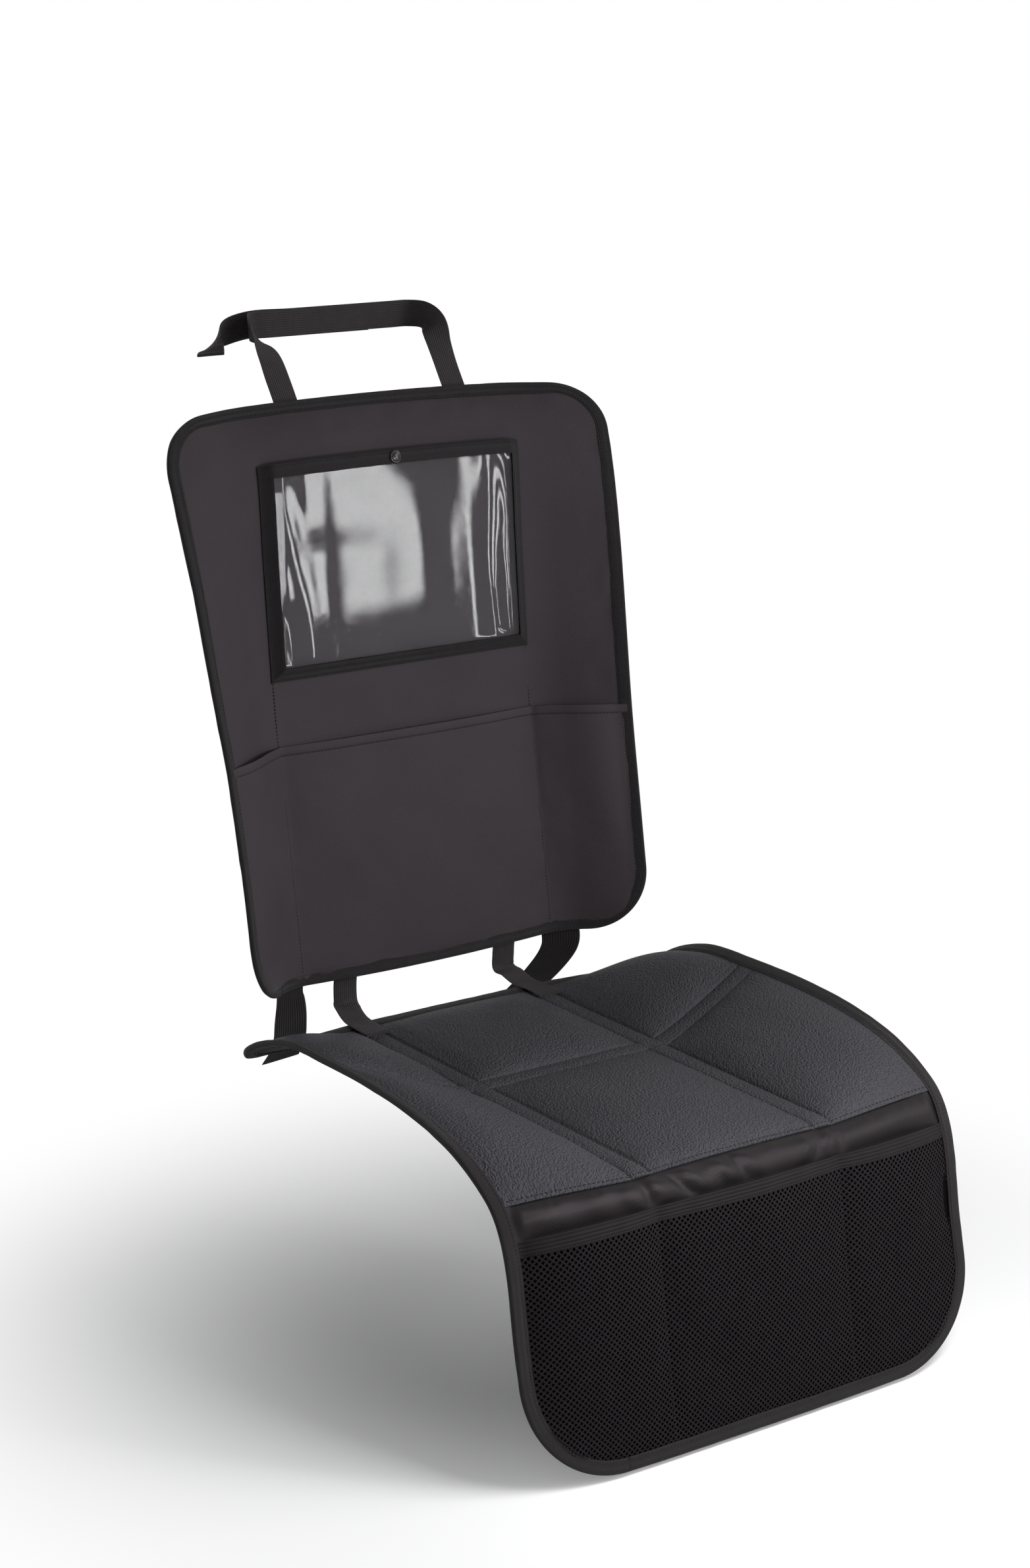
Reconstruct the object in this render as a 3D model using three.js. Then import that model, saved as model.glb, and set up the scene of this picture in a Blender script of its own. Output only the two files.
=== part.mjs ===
// Car seat protector: a back mat that hangs from the headrest posts, and a quilted seat mat with a pocket flap.
// Millimetres. +X is to the right of someone who faces the seat, +Y points to its rear, +Z up.
// The origin lies on the underside of the seat mat, on the flat face that rests on the cushion.
import * as THREE from "three";

// Driving dimensions of the back mat
const backHalfWidth = 237;
const backTopRadius = 48;
const backBottomRadius = 60;
const backTopBow = 8;
const backBottomBow = 9;
const panelThickness = 2;
const seamOffset = 139;
const bendStart = 128;
const bendLength = 48;

// Driving dimensions of the seat mat
const seatHalfWidth = 234;
const seatRearRadius = 40;
const flapRadius = 88;
const rearBow = 2;
const flapBow = 2;
const seamBow = 11;
const channelOffset = 96;
const channelWidth = 20;
const crossChannelFromRear = 193;
const frontSeamFromRear = 428;
const baseThickness = 1;
const coverThickness = 1;
const padCrown = 10;
const padShoulder = 5;
const wadding = 0.9;
const foamInset = 12;
const foamGap = 1.3;

// Driving dimensions that both mats share
const clearance = 0.3;
const foldClearance = 0.9;
const bindingWidth = 11;
const tapeThickness = 0.8;
const webWidth = 25;
const webThickness = 1.2;
const webHem = 9;

// Driving dimensions of the tablet pocket
const windowHalfWidth = 141;
const windowBottom = 280.5;
const windowHeight = 196.5;
const windowTapeWidth = 12;
const filmThickness = 0.5;
const pocketDepth = 7.5;
const snapRadius = 6;
const snapCapHeight = 2.4;
const snapNeckRadius = 4;

// Driving dimensions of the cloth pockets of the back mat
const pocketHem = 221;
const clothThickness = 1;
const pocketGape = 7;
const sidePocketGape = 8;

// Driving dimensions of the flap and its net pocket
const satinThickness = 0.8;
const gatherHeight = 1.8;
const gatherCount = 13;
const elasticDrop = 27;
const elasticWidth = 11;
const elasticThickness = 0.9;
const netOverlap = 8;
const netThickness = 0.8;
const netGape = 10;
const netBarWidth = 9;

// Driving dimensions of the straps
const headStrapOffset = 91;
const headStrapTuck = 22;
const postOffset = 73;
const patchThickness = 0.9;
const patchLength = 84;
const patchWidth = 22;
const lowerStrapOffset = 89;
const lowerStrapTuck = 24;
const lowerStrapLap = 36;
const bandWidth = 38;
const bandInset = 87;
const bandTuck = 30;
const bandDrop = 91;
const bandDepth = 64;
const bandTurnIn = 24;
const wrapRise = 61;
const wrapDepth = 71;
const wrapReach = 23;
const tailReach = 98;
const tailDrop = 22;

// Side view of the mats, in y and z, from the flap's lower edge to the rear edge of the seat mat
// and from the lower to the upper edge of the back mat. The origin is centreY behind the front seam.
const centreY = 205;
const seatCentreLine = [
  [-56, -225], [-46, -165], [-36, -105], [-26, -45], [-20, -20], [-14, -9], [0, -1],
  [35, 0], [90, 0], [160, 0], [230, 0], [300, 0], [370, 0], [424, 1],
];
const seatEdgeLine = [
  [-54, -225], [-40, -166], [-26, -107], [-16, -50], [-8, -24], [4, -4], [20, 9],
  [58, 28], [112, 41], [180, 47], [255, 47], [318, 44], [370, 27], [416, -3],
];
const backCentreLine = [
  [448, 41], [465, 144], [484, 259], [491, 318], [500, 415], [509, 513], [519, 541], [534, 563],
];
// How far the side margins of the back mat bend forward, in degrees, at the same heights
const backBendDegrees = [42, 42, 39, 34, 25, 11, 11, 17];

function sideCurve(points) {
  return new THREE.CatmullRomCurve3(points.map(([y, z]) => new THREE.Vector3(0, y - centreY, z)));
}

const seatCentre = sideCurve(seatCentreLine);
const seatEdge = sideCurve(seatEdgeLine);
const backCentre = sideCurve(backCentreLine);
const backBend = new THREE.CatmullRomCurve3(backBendDegrees.map((angle) => new THREE.Vector3(angle, 0, 0)));

// A mat is a surface with an outline. u runs across it, s runs up or to the rear, h is the height above it.
const backMat = {
  halfWidth: backHalfWidth,
  keptHalfWidth: seamOffset,
  length: backCentre.getLength(),
  lowRadius: backBottomRadius,
  highRadius: backTopRadius,
  lowBow: backBottomBow,
  highBow: backTopBow,
  surface(u, s) {
    const station = stationAt(backCentre, s);
    const middle = backCentre.getPoint(station);
    const bend = THREE.MathUtils.degToRad(backBend.getPoint(station).x);
    const past = Math.abs(u) - bendStart;
    if (past <= 0) return new THREE.Vector3(u, middle.y, middle.z);
    const curvature = bend / bendLength;
    const turned = Math.min(past, bendLength) * curvature;
    const straight = Math.max(past - bendLength, 0);
    const across = bendStart + Math.sin(turned) / curvature + straight * Math.cos(bend);
    const forward = (1 - Math.cos(turned)) / curvature + straight * Math.sin(bend);
    return new THREE.Vector3(Math.sign(u) * across, middle.y - forward, middle.z);
  },
};

const channelEdge = channelOffset + channelWidth / 2;
const seatMat = {
  halfWidth: seatHalfWidth,
  keptHalfWidth: channelEdge,
  length: seatCentre.getLength(),
  lowRadius: flapRadius,
  highRadius: seatRearRadius,
  lowBow: flapBow,
  highBow: rearBow,
  surface(u, s) {
    const station = stationAt(seatCentre, s);
    const share = Math.max((Math.abs(u) - channelEdge) / (seatHalfWidth - channelEdge), 0);
    const point = seatCentre.getPoint(station).lerp(seatEdge.getPoint(station), share ** 1.15);
    return point.setX(u);
  },
};

const seatRear = seatMat.length;
const frontSeam = seatRear - frontSeamFromRear;
const crossChannel = seatRear - crossChannelFromRear;
const elasticTop = frontSeam - elasticDrop;

// The front seam dips towards its ends. The dip fades out at the elastic and at the cross channel.
function seamDip(s) {
  const { smoothstep } = THREE.MathUtils;
  return s < frontSeam ? smoothstep(s, elasticTop, frontSeam) : 1 - smoothstep(s, frontSeam, crossChannel);
}

function stationAt(curve, s) {
  const share = s / curve.getLength();
  const held = THREE.MathUtils.clamp(share, 0, 1);
  return curve.getUtoTmapping(held);
}

// The outline is bowed: the ends of the low and high edges lie further in than their middles.
function bowed(mat, u, s) {
  const share = s / mat.length;
  const side = (u / mat.halfWidth) ** 2;
  const dip = mat === seatMat ? seamBow * seamDip(s) : 0;
  return s + side * (mat.lowBow * (1 - share) - mat.highBow * share - dip);
}

function pointOn(mat, u, s, h) {
  const step = 0.5;
  const along = bowed(mat, u, s);
  const held = THREE.MathUtils.clamp(along, step, mat.length - step);
  const point = mat.surface(u, held);
  const across = mat.surface(u + step, held).sub(mat.surface(u - step, held));
  const up = mat.surface(u, held + step).sub(mat.surface(u, held - step));
  const normal = across.cross(up).normalize();
  const beyond = up.normalize().multiplyScalar(along - held);
  return point.add(beyond).addScaledVector(normal, h);
}

function halfWidthAt(mat, s, inset) {
  const full = mat.halfWidth - inset;
  const cut = (radius, distance) => {
    const r = radius - inset;
    return distance < r ? r - Math.sqrt(Math.max(r * r - (r - distance) ** 2, 0)) : 0;
  };
  return full - Math.max(cut(mat.lowRadius, s - inset), cut(mat.highRadius, mat.length - inset - s));
}

// A column of a sheet keeps its place near the middle. Further out it follows the outline and the inner edge
// of the binding, so that every sheet has the same cells under the binding.
function placeAt(mat, place, s) {
  const size = Math.abs(place);
  if (size <= mat.keptHalfWidth) return place;
  const inner = mat.halfWidth - bindingWidth;
  const innerNow = halfWidthAt(mat, s, bindingWidth);
  if (size <= inner) {
    return Math.sign(place) * THREE.MathUtils.mapLinear(size, mat.keptHalfWidth, inner, mat.keptHalfWidth, innerNow);
  }
  const outerNow = halfWidthAt(mat, s, 0);
  return Math.sign(place) * THREE.MathUtils.mapLinear(size, inner, mat.halfWidth, innerNow, outerNow);
}

// A closed mesh from points and triangles, turned so that its faces point out. Points in one place are joined.
function solid(points, triangles) {
  const places = new Map();
  const joined = points.map((p) => {
    const key = [p.x, p.y, p.z].map((value) => value.toFixed(4)).join();
    if (!places.has(key)) places.set(key, { point: p, index: places.size });
    return places.get(key).index;
  });
  const kept = [...places.values()].map(({ point }) => point);
  const whole = triangles.map((face) => face.map((i) => joined[i])).filter(([a, b, c]) => {
    return a !== b && b !== c && c !== a;
  });
  const volume = whole.reduce((sum, [a, b, c]) => {
    return sum + kept[a].dot(new THREE.Vector3().crossVectors(kept[b], kept[c]));
  }, 0);
  const faces = volume < 0 ? whole.map(([a, b, c]) => [a, c, b]) : whole;
  const geometry = new THREE.BufferGeometry();
  geometry.setAttribute("position", new THREE.Float32BufferAttribute(kept.flatMap((p) => [p.x, p.y, p.z]), 3));
  geometry.setIndex(faces.flat());
  geometry.computeVertexNormals();
  return geometry;
}

// A sheet of cells with two faces. pointAt(column, row, face) places a corner, and gaps leave cells out.
function sheet(columns, rows, pointAt, isGap = () => false) {
  const points = [];
  for (const face of [0, 1]) {
    for (let row = 0; row <= rows; row++) {
      for (let column = 0; column <= columns; column++) points.push(pointAt(column, row, face));
    }
  }
  const corner = (column, row, face) => (face * (rows + 1) + row) * (columns + 1) + column;
  const isCloth = (column, row) => {
    return column >= 0 && row >= 0 && column < columns && row < rows && !isGap(column, row);
  };
  const triangles = [];
  const quad = (a, b, c, d) => triangles.push([a, b, c], [a, c, d]);
  for (let row = 0; row < rows; row++) {
    for (let column = 0; column < columns; column++) {
      if (!isCloth(column, row)) continue;
      const ring = [[column, row], [column + 1, row], [column + 1, row + 1], [column, row + 1]];
      const low = ring.map(([i, j]) => corner(i, j, 0));
      const high = ring.map(([i, j]) => corner(i, j, 1));
      quad(...high);
      quad(low[0], low[3], low[2], low[1]);
      const neighbours = [[column, row - 1], [column + 1, row], [column, row + 1], [column - 1, row]];
      neighbours.forEach(([i, j], side) => {
        const next = (side + 1) % 4;
        if (!isCloth(i, j)) quad(low[side], low[next], high[next], high[side]);
      });
    }
  }
  const used = [...new Set(triangles.flat())].sort((a, b) => a - b);
  const place = new Map(used.map((old, fresh) => [old, fresh]));
  return solid(used.map((old) => points[old]), triangles.map((face) => face.map((old) => place.get(old))));
}

// Rings of points joined in order, as a closed loop or with a cap at each end.
function loft(rings, isLoop) {
  const sides = rings[0].length;
  const points = rings.flat();
  const triangles = [];
  const spans = isLoop ? rings.length : rings.length - 1;
  for (let ring = 0; ring < spans; ring++) {
    const here = ring * sides;
    const there = ((ring + 1) % rings.length) * sides;
    for (let side = 0; side < sides; side++) {
      const next = (side + 1) % sides;
      triangles.push([here + side, here + next, there + next], [here + side, there + next, there + side]);
    }
  }
  if (!isLoop) {
    const last = (rings.length - 1) * sides;
    for (let side = 1; side < sides - 1; side++) {
      triangles.push([0, side + 1, side], [last, last + side, last + side + 1]);
    }
  }
  return solid(points, triangles);
}

// Values from low to high in even steps, and the same joined through several stops.
function spread(low, high, steps) {
  return Array.from({ length: steps + 1 }, (_, i) => low + ((high - low) * i) / steps);
}

function spreadThrough(stops, steps) {
  return steps.flatMap((count, i) => spread(stops[i], stops[i + 1], count).slice(i ? 1 : 0));
}

// Places along a mat where its corners turn: its ends, the inner edge of the binding and steps round the corner.
function cornerRows(mat, isHigh) {
  const radius = isHigh ? mat.highRadius : mat.lowRadius;
  const turns = [30, 60, 90].map((angle) => {
    return bindingWidth + (radius - bindingWidth) * (1 - Math.cos(THREE.MathUtils.degToRad(angle)));
  });
  const rows = [0, bindingWidth / 3, bindingWidth, ...turns];
  return isHigh ? rows.map((s) => mat.length - s).reverse() : rows;
}

// The same places on both sides of the middle.
function bothSides(places) {
  return [...places.map((u) => -u).reverse(), ...places];
}

// A sheet on a mat. heights(place, s) gives the heights of its two faces.
function matSheet(mat, columns, rows, heights, isGap) {
  return sheet(columns.length - 1, rows.length - 1, (column, row, face) => {
    const place = columns[column];
    const s = rows[row];
    return pointOn(mat, placeAt(mat, place, s), s, heights(place, s)[face]);
  }, isGap);
}

// The direction, across and along the mat, that faces out of its outline
function outward(mat, u, s) {
  const isLow = s < mat.length / 2;
  const radius = isLow ? mat.lowRadius : mat.highRadius;
  const along = isLow ? s - radius : s - (mat.length - radius);
  const across = Math.abs(u) - (mat.halfWidth - radius);
  const isPastCorner = isLow ? along > 0 : along < 0;
  if (isPastCorner) return [Math.sign(u), 0];
  if (across < 0) return [0, Math.sign(along)];
  return [(Math.sign(u) * across) / radius, along / radius];
}

// The outline of a sheet that fills a mat, one station at each of its edge points
function outline(mat, columns, rows) {
  const inner = columns.slice(1, -1);
  const last = rows.length - 1;
  const station = (place, s) => {
    const u = placeAt(mat, place, s);
    return { u, s, out: outward(mat, u, s) };
  };
  return [
    ...inner.map((place) => station(place, rows[0])),
    ...rows.slice(1, last).map((s) => station(mat.halfWidth, s)),
    ...[...inner].reverse().map((place) => station(place, rows[last])),
    ...rows.slice(1, last).reverse().map((s) => station(-mat.halfWidth, s)),
  ];
}

// Twill tape folded over the edge of a mat, from the underside round to the face.
function binding(mat, path, lowFace, highFace) {
  const gap = foldClearance;
  const outer = gap + tapeThickness;
  const section = [
    [bindingWidth, highFace + outer], [-outer, highFace + outer],
    [-outer, lowFace - outer], [bindingWidth, lowFace - outer],
    [bindingWidth, lowFace - gap], [-gap, lowFace - gap], [-gap, highFace + gap], [bindingWidth, highFace + gap],
  ];
  const rings = path.map(({ u, s, out }) => {
    return section.map(([inward, h]) => pointOn(mat, u - inward * out[0], s - inward * out[1], h));
  });
  return loft(rings, true);
}

// A flat strap along smooth stations. Each station gives a place and the direction of the strap's width.
function ribbon(stations, steps, width, thickness, layer = 0, from = 0, to = 1) {
  const places = new THREE.CatmullRomCurve3(stations.map(([place]) => place));
  const widths = new THREE.CatmullRomCurve3(stations.map(([, across]) => across));
  const rings = spread(from, to, steps).map((t) => {
    const tangent = places.getTangent(t);
    const normal = tangent.clone().cross(widths.getPoint(t)).normalize();
    const across = normal.clone().cross(tangent).normalize();
    const middle = places.getPoint(t).addScaledVector(normal, layer);
    return [[-1, -1], [1, -1], [1, 1], [-1, 1]].map(([a, b]) => {
      return middle.clone().addScaledVector(across, (a * width) / 2).addScaledVector(normal, (b * thickness) / 2);
    });
  });
  return loft(rings, false);
}

// Rises fast from the edge of a pad and stays nearly level over its middle. x runs from 0 to 1 across it.
function crownShare(x) {
  const inside = THREE.MathUtils.clamp(x, 0, 1);
  return 1 - Math.abs(2 * inside - 1) ** padShoulder;
}

// Heights above the panels and the seat mat's underside
const panelFace = panelThickness / 2;
const baseFace = baseThickness;
const coverSeat = baseFace + wadding;
const seatStack = coverSeat + coverThickness;

// Back mat: the lined panel, its binding and the row of cloth pockets
const pocketInset = 2.8;
const backInset = bindingWidth + pocketInset;
const pocketRows = spread(backBottomRadius, pocketHem, 4);
const backRows = [
  ...cornerRows(backMat, false), ...pocketRows.slice(1), windowBottom, 335, 380, 420, 455, ...cornerRows(backMat, true),
];
const bendEnd = bendStart + bendLength;
const bendColumns = [bendStart, seamOffset, ...spread(seamOffset, bendEnd, 3).slice(1)];
const sideColumn = (bendEnd + backHalfWidth - bindingWidth) / 2;
const backColumns = bothSides([
  bendStart / 2.5, ...bendColumns, sideColumn, backHalfWidth - bindingWidth, backHalfWidth,
]);

function backPanel() {
  return matSheet(backMat, backColumns, backRows, () => [-panelFace, panelFace]);
}

function backBinding() {
  return binding(backMat, outline(backMat, backColumns, backRows), -panelFace, panelFace);
}

// Three pockets side by side, closed by the two seams, standing open a little at the hem.
function pocketLift(u, s) {
  const down = THREE.MathUtils.clamp((s - backInset) / (pocketHem - backInset), 0, 1);
  const open = Math.sin((down * Math.PI) / 2) ** 0.8;
  const outer = backHalfWidth - backInset;
  const isMiddle = Math.abs(u) <= seamOffset;
  const across = isMiddle ? (u / seamOffset + 1) / 2 : (Math.abs(u) - seamOffset) / (outer - seamOffset);
  const gape = isMiddle ? pocketGape : sidePocketGape;
  return gape * open * (1 - Math.abs(2 * THREE.MathUtils.clamp(across, 0, 1) - 1) ** 3);
}

function pocketPanel() {
  const columns = bothSides([bendStart * 0.35, bendStart * 0.75, ...bendColumns, sideColumn, backHalfWidth - backInset]);
  const rows = [backInset, ...cornerRows(backMat, false).slice(3, -1), ...pocketRows];
  const base = panelFace + foldClearance + clearance;
  return matSheet(backMat, columns, rows, (u, s) => {
    const lift = base + pocketLift(u, s);
    return [lift, lift + clothThickness];
  });
}

// Tablet pocket: a clear film that stands off the panel, framed by four tapes and shut by a snap
const windowTop = windowBottom + windowHeight;
const filmInset = 1.5;

function filmLift(u, s) {
  const fromSide = windowHalfWidth - Math.abs(u);
  const fromBottom = s - windowBottom;
  const slope = (Math.min(fromSide, fromBottom) - filmInset) / (windowTapeWidth - filmInset);
  const rise = THREE.MathUtils.clamp(slope, 0, 1);
  const low = panelFace + clearance;
  return low + (panelFace + pocketDepth - low) * rise;
}

function windowFilm() {
  const side = windowHalfWidth - filmInset;
  const flat = windowHalfWidth - windowTapeWidth;
  const columns = spreadThrough([-side, -flat, flat, side], [1, 4, 1]);
  const bottom = windowBottom + filmInset;
  const top = windowTop - filmInset;
  const rows = spreadThrough([bottom, windowBottom + windowTapeWidth, windowTop - windowTapeWidth, top], [1, 5, 1]);
  return sheet(columns.length - 1, rows.length - 1, (column, row, face) => {
    const lift = filmLift(columns[column], rows[row]);
    return pointOn(backMat, columns[column], rows[row], lift + face * filmThickness);
  });
}

// A tape on the film. Its outer and inner edges run between two places each, with corners at the shares given.
function windowTape([outerFrom, outerTo, innerFrom, innerTo], shares) {
  const mix = (a, b, t) => a.map((value, i) => value + (b[i] - value) * t);
  return sheet(shares.length - 1, 1, (column, row, face) => {
    const edge = row ? [innerFrom, innerTo] : [outerFrom, outerTo];
    const [u, s] = mix(...edge, shares[column]);
    const lift = filmLift(u, s) + filmThickness + clearance;
    return pointOn(backMat, u, s, lift + face * tapeThickness);
  });
}

const tapeGap = clearance / 2;
const sideInner = windowHalfWidth - windowTapeWidth;
const topInner = windowTop - windowTapeWidth;
const bottomInner = windowBottom + windowTapeWidth;

function windowTapeTop() {
  const low = topInner + tapeGap;
  const half = windowHalfWidth;
  const corner = windowTapeWidth / (2 * half);
  const shares = spreadThrough([0, corner, 1 - corner, 1], [1, 4, 1]);
  return windowTape([[-half, windowTop], [half, windowTop], [-half, low], [half, low]], shares);
}

function windowTapeBottom() {
  const outer = windowHalfWidth - tapeGap;
  const inner = sideInner - tapeGap;
  const shares = spread(0, 1, 4);
  return windowTape([[-outer, windowBottom], [outer, windowBottom], [-inner, bottomInner], [inner, bottomInner]],
    shares);
}

function windowTapeSide(side) {
  const outer = side * windowHalfWidth;
  const inner = side * sideInner;
  const low = tapeGap * 2;
  const high = topInner - tapeGap;
  const shares = spread(0, 1, 5);
  return windowTape([[outer, windowBottom + low], [outer, high], [inner, bottomInner + low], [inner, high]], shares);
}

// Lathe profiles of the snap, turned about the line out of the panel at the middle of the top tape
function snapPiece(profile, height) {
  const geometry = new THREE.LatheGeometry(profile.map(([r, h]) => new THREE.Vector2(r, h)), 12);
  const s = windowTop - windowTapeWidth / 2;
  const foot = pointOn(backMat, 0, s, height);
  const out = pointOn(backMat, 0, s, height + 1).sub(foot);
  geometry.applyQuaternion(new THREE.Quaternion().setFromUnitVectors(new THREE.Vector3(0, 1, 0), out));
  geometry.translate(foot.x, foot.y, foot.z);
  return geometry;
}

const filmUnder = panelFace + pocketDepth;
const snapSeat = panelFace + clearance;
const snapSplit = (snapSeat + filmUnder) / 2;

function snapCap() {
  const face = filmUnder + filmThickness + clearance + tapeThickness + clearance;
  const top = snapCapHeight;
  return snapPiece([[0, 0], [snapRadius, 0], [snapRadius, top * 0.3], [snapRadius * 0.75, top * 0.8], [0, top]], face);
}

function snapSocket() {
  const height = filmUnder - clearance - snapSplit;
  return snapPiece([[0, 0], [snapNeckRadius, 0], [snapRadius, height * 0.5], [snapRadius, height], [0, height]],
    snapSplit);
}

function snapStud() {
  const height = snapSplit - clearance - snapSeat;
  return snapPiece([[0, 0], [snapRadius, 0], [snapRadius, height * 0.4], [snapNeckRadius, height], [0, height]],
    snapSeat);
}

// Head straps: sewn behind the top edge, round the outside of each post, joined behind both by hook tape
const behind = -(panelFace + foldClearance + tapeThickness + 2 * clearance + webThickness / 2);
const acrossX = new THREE.Vector3(1, 0, 0);
const acrossZ = new THREE.Vector3(0, 0, 1);
const layerStep = (webThickness + patchThickness) / 2 + clearance;
const topEdge = backCentre.getPoint(1);
const lowEdge = backCentre.getPoint(0);
const wrapHeight = topEdge.z + wrapRise;
const leftRun = wrapDepth;
const rightRun = leftRun + 2 * layerStep + patchThickness + clearance;

function sewnEnd(side, offset, edge, tuck) {
  const inward = edge ? -1 : 1;
  const s = edge ? backMat.length : 0;
  return [tuck, tuck / 3].map((depth) => {
    const place = (u) => pointOn(backMat, u, s + inward * depth, behind);
    const across = place(side * offset + 1).sub(place(side * offset - 1)).normalize();
    return [place(side * offset), across];
  });
}

// A place above and behind the top edge of the back mat
function pastTop(x, depth, rise) {
  return new THREE.Vector3(x, topEdge.y + depth, topEdge.z + rise);
}

function headStrapStations(side, run) {
  const wrap = (reach, depth, rise) => {
    return pastTop(side * (postOffset + wrapReach * reach), wrapDepth * depth, wrapRise * rise);
  };
  const level = (x, depth) => pastTop(side * x, depth, wrapRise);
  return [
    ...sewnEnd(side, headStrapOffset, 1, headStrapTuck),
    [pastTop(side * headStrapOffset, wrapDepth * 0.23, wrapRise * 0.28), acrossX],
    [wrap(0.83, 0.44, 0.64), new THREE.Vector3(0.97, 0, side * 0.25)],
    [wrap(1, 0.65, 0.885), new THREE.Vector3(0.6, 0, side * 0.8)],
    [wrap(0.96, 0.845, 0.985), new THREE.Vector3(0.1, 0, side)],
    [level(postOffset + wrapReach * 0.57, run - webThickness), new THREE.Vector3(0, 0, side)],
    [level(postOffset * 0.92, run), new THREE.Vector3(0, 0, side)],
    [level(postOffset * 0.41, run), new THREE.Vector3(0, 0, side)],
  ];
}

const joinEnd = patchLength / 2 - 2;

function headStrapLeft() {
  const stations = [
    ...headStrapStations(-1, leftRun),
    [pastTop(joinEnd, leftRun, wrapRise), acrossZ.clone().negate()],
  ];
  return ribbon(stations, 24, webWidth, webThickness);
}

function headStrapRight() {
  const tail = (reach, back, drop) => {
    return pastTop(-joinEnd - tailReach * reach, rightRun + tailDrop * back, wrapRise - tailDrop * drop);
  };
  const stations = [
    ...headStrapStations(1, rightRun),
    [tail(0, 0, 0), acrossZ],
    [tail(0.47, 0.045, 0), acrossZ],
    [tail(0.73, -0.045, 0.23), new THREE.Vector3(0.2, -0.1, 0.97)],
    [tail(0.9, -0.36, 0.59), new THREE.Vector3(0.55, -0.35, 0.75)],
    [tail(1, -0.91, 1), new THREE.Vector3(0.82, -0.5, 0.2)],
  ];
  return ribbon(stations, 34, webWidth, webThickness);
}

function patch(run) {
  const half = patchLength / 2;
  const stations = [[pastTop(-half, run, wrapRise), acrossZ], [pastTop(half - 6, run, wrapRise), acrossZ]];
  return ribbon(stations, 2, patchWidth, patchThickness);
}

// Lower straps: sewn behind the lower edge, they hang down and lie with a folded end on the seat mat
function lowerStrap(side) {
  const hanging = (depth, drop) => {
    return new THREE.Vector3(side * lowerStrapOffset, lowEdge.y + depth, lowEdge.z - drop);
  };
  const lying = (place, s, lift) => pointOn(seatMat, side * place, seatRear + s, rest + lift);
  const rest = seatStack + foldClearance + tapeThickness + 2 * clearance + webThickness / 2;
  const stations = [
    ...sewnEnd(side, lowerStrapOffset, 0, lowerStrapTuck),
    [hanging(7, 11), acrossX],
    [hanging(6, 25), acrossX],
    [lying(lowerStrapOffset + 3, 21, 5), acrossX],
    [lying(lowerStrapOffset + 5, 6, clearance), acrossX],
    [lying(channelOffset, -lowerStrapLap * 0.4, 2 * clearance), acrossX],
    [lying(channelOffset, -lowerStrapLap, 3 * clearance), acrossX],
  ];
  const main = new THREE.CatmullRomCurve3(stations.map(([place]) => place));
  const foldStart = 1 - webHem / main.getLength();
  const rings = spreadThrough([0, foldStart, foldStart + 0.001, 1], [12, 1, 1]).map((share) => {
    const t = main.getUtoTmapping(share);
    const tangent = main.getTangent(t);
    const normal = acrossX.clone().cross(tangent).normalize().multiplyScalar(-1);
    const isHem = share > foldStart;
    const top = webThickness / 2 + (isHem ? webThickness * 1.5 : 0);
    const place = main.getPoint(t);
    return [[-1, -webThickness / 2], [1, -webThickness / 2], [1, top], [-1, top]].map(([a, h]) => {
      return place.clone().addScaledVector(acrossX, (a * webWidth) / 2).addScaledVector(normal, h);
    });
  });
  return loft(rings, false);
}

// Elastic bands: sewn behind the lower corners, they run down and in, through the gap under the backrest
function elasticBand(side) {
  const tilted = (across, drop) => new THREE.Vector3(across, 0, -drop * side);
  const bandOffset = backHalfWidth - bandInset;
  const route = (turn, depth, drop) => {
    const x = side * (bandOffset - bandTurnIn * turn);
    return new THREE.Vector3(x, lowEdge.y + bandDepth * depth, lowEdge.z - bandDrop * drop);
  };
  const [sewn, sewnEdge] = sewnEnd(side, bandOffset, 0, bandTuck);
  const below = pointOn(backMat, side * bandOffset, -bandTuck / 2, behind - 3);
  const stations = [
    sewn, sewnEdge, [below, sewnEdge[1]],
    [route(0.375, 0.31, 0.5), tilted(0.93, 0.35)],
    [route(0.75, 0.62, 0.74), tilted(0.98, 0.15)],
    [route(1, 1, 1), acrossX],
  ];
  return ribbon(stations, 14, bandWidth, webThickness);
}

// Seat mat: pads between sewn channels, an underside sheet, foam inside and a binding round it all
const sidePadEdge = seatHalfWidth - bindingWidth;
const padColumns = [
  [-sidePadEdge, -channelEdge],
  [-channelOffset + channelWidth / 2, channelOffset - channelWidth / 2],
  [channelEdge, sidePadEdge],
];
const padRows = [
  [frontSeam + clearance, crossChannel - channelWidth / 2],
  [crossChannel + channelWidth / 2, seatRear - bindingWidth],
];

function padLift(u, s) {
  const inRange = (value, [low, high]) => value > low && value < high;
  const across = padColumns.find((range) => inRange(u, range));
  const along = padRows.find((range) => inRange(s, range));
  if (!across || !along) return 0;
  const share = (value, [low, high]) => (value - low) / (high - low);
  return padCrown * crownShare(share(u, across)) * crownShare(share(s, along));
}

const rangePlaces = (range, shares) => shares.map((share) => range[0] + (range[1] - range[0]) * share);
const padShares = [0, 0.08, 0.22, 0.5, 0.75, 0.92, 1];
const plainShares = [0, 0.25, 0.5, 0.75, 1];
const baseShares = [0, 0.08, 0.22, 0.5, 0.75, 1];
const sideColumns = (shares) => [...rangePlaces(padColumns[2], shares), seatHalfWidth];
const leftColumns = (shares) => sideColumns(shares).map((u) => -u).reverse();
const rearRows = (frontShares, rearShares) => [
  ...rangePlaces(padRows[0], frontShares), ...rangePlaces(padRows[1], rearShares), ...cornerRows(seatMat, true),
];
const coverRows = rearRows(padShares, [0, 0.08, 0.25, 0.5, 0.73]);

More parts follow.
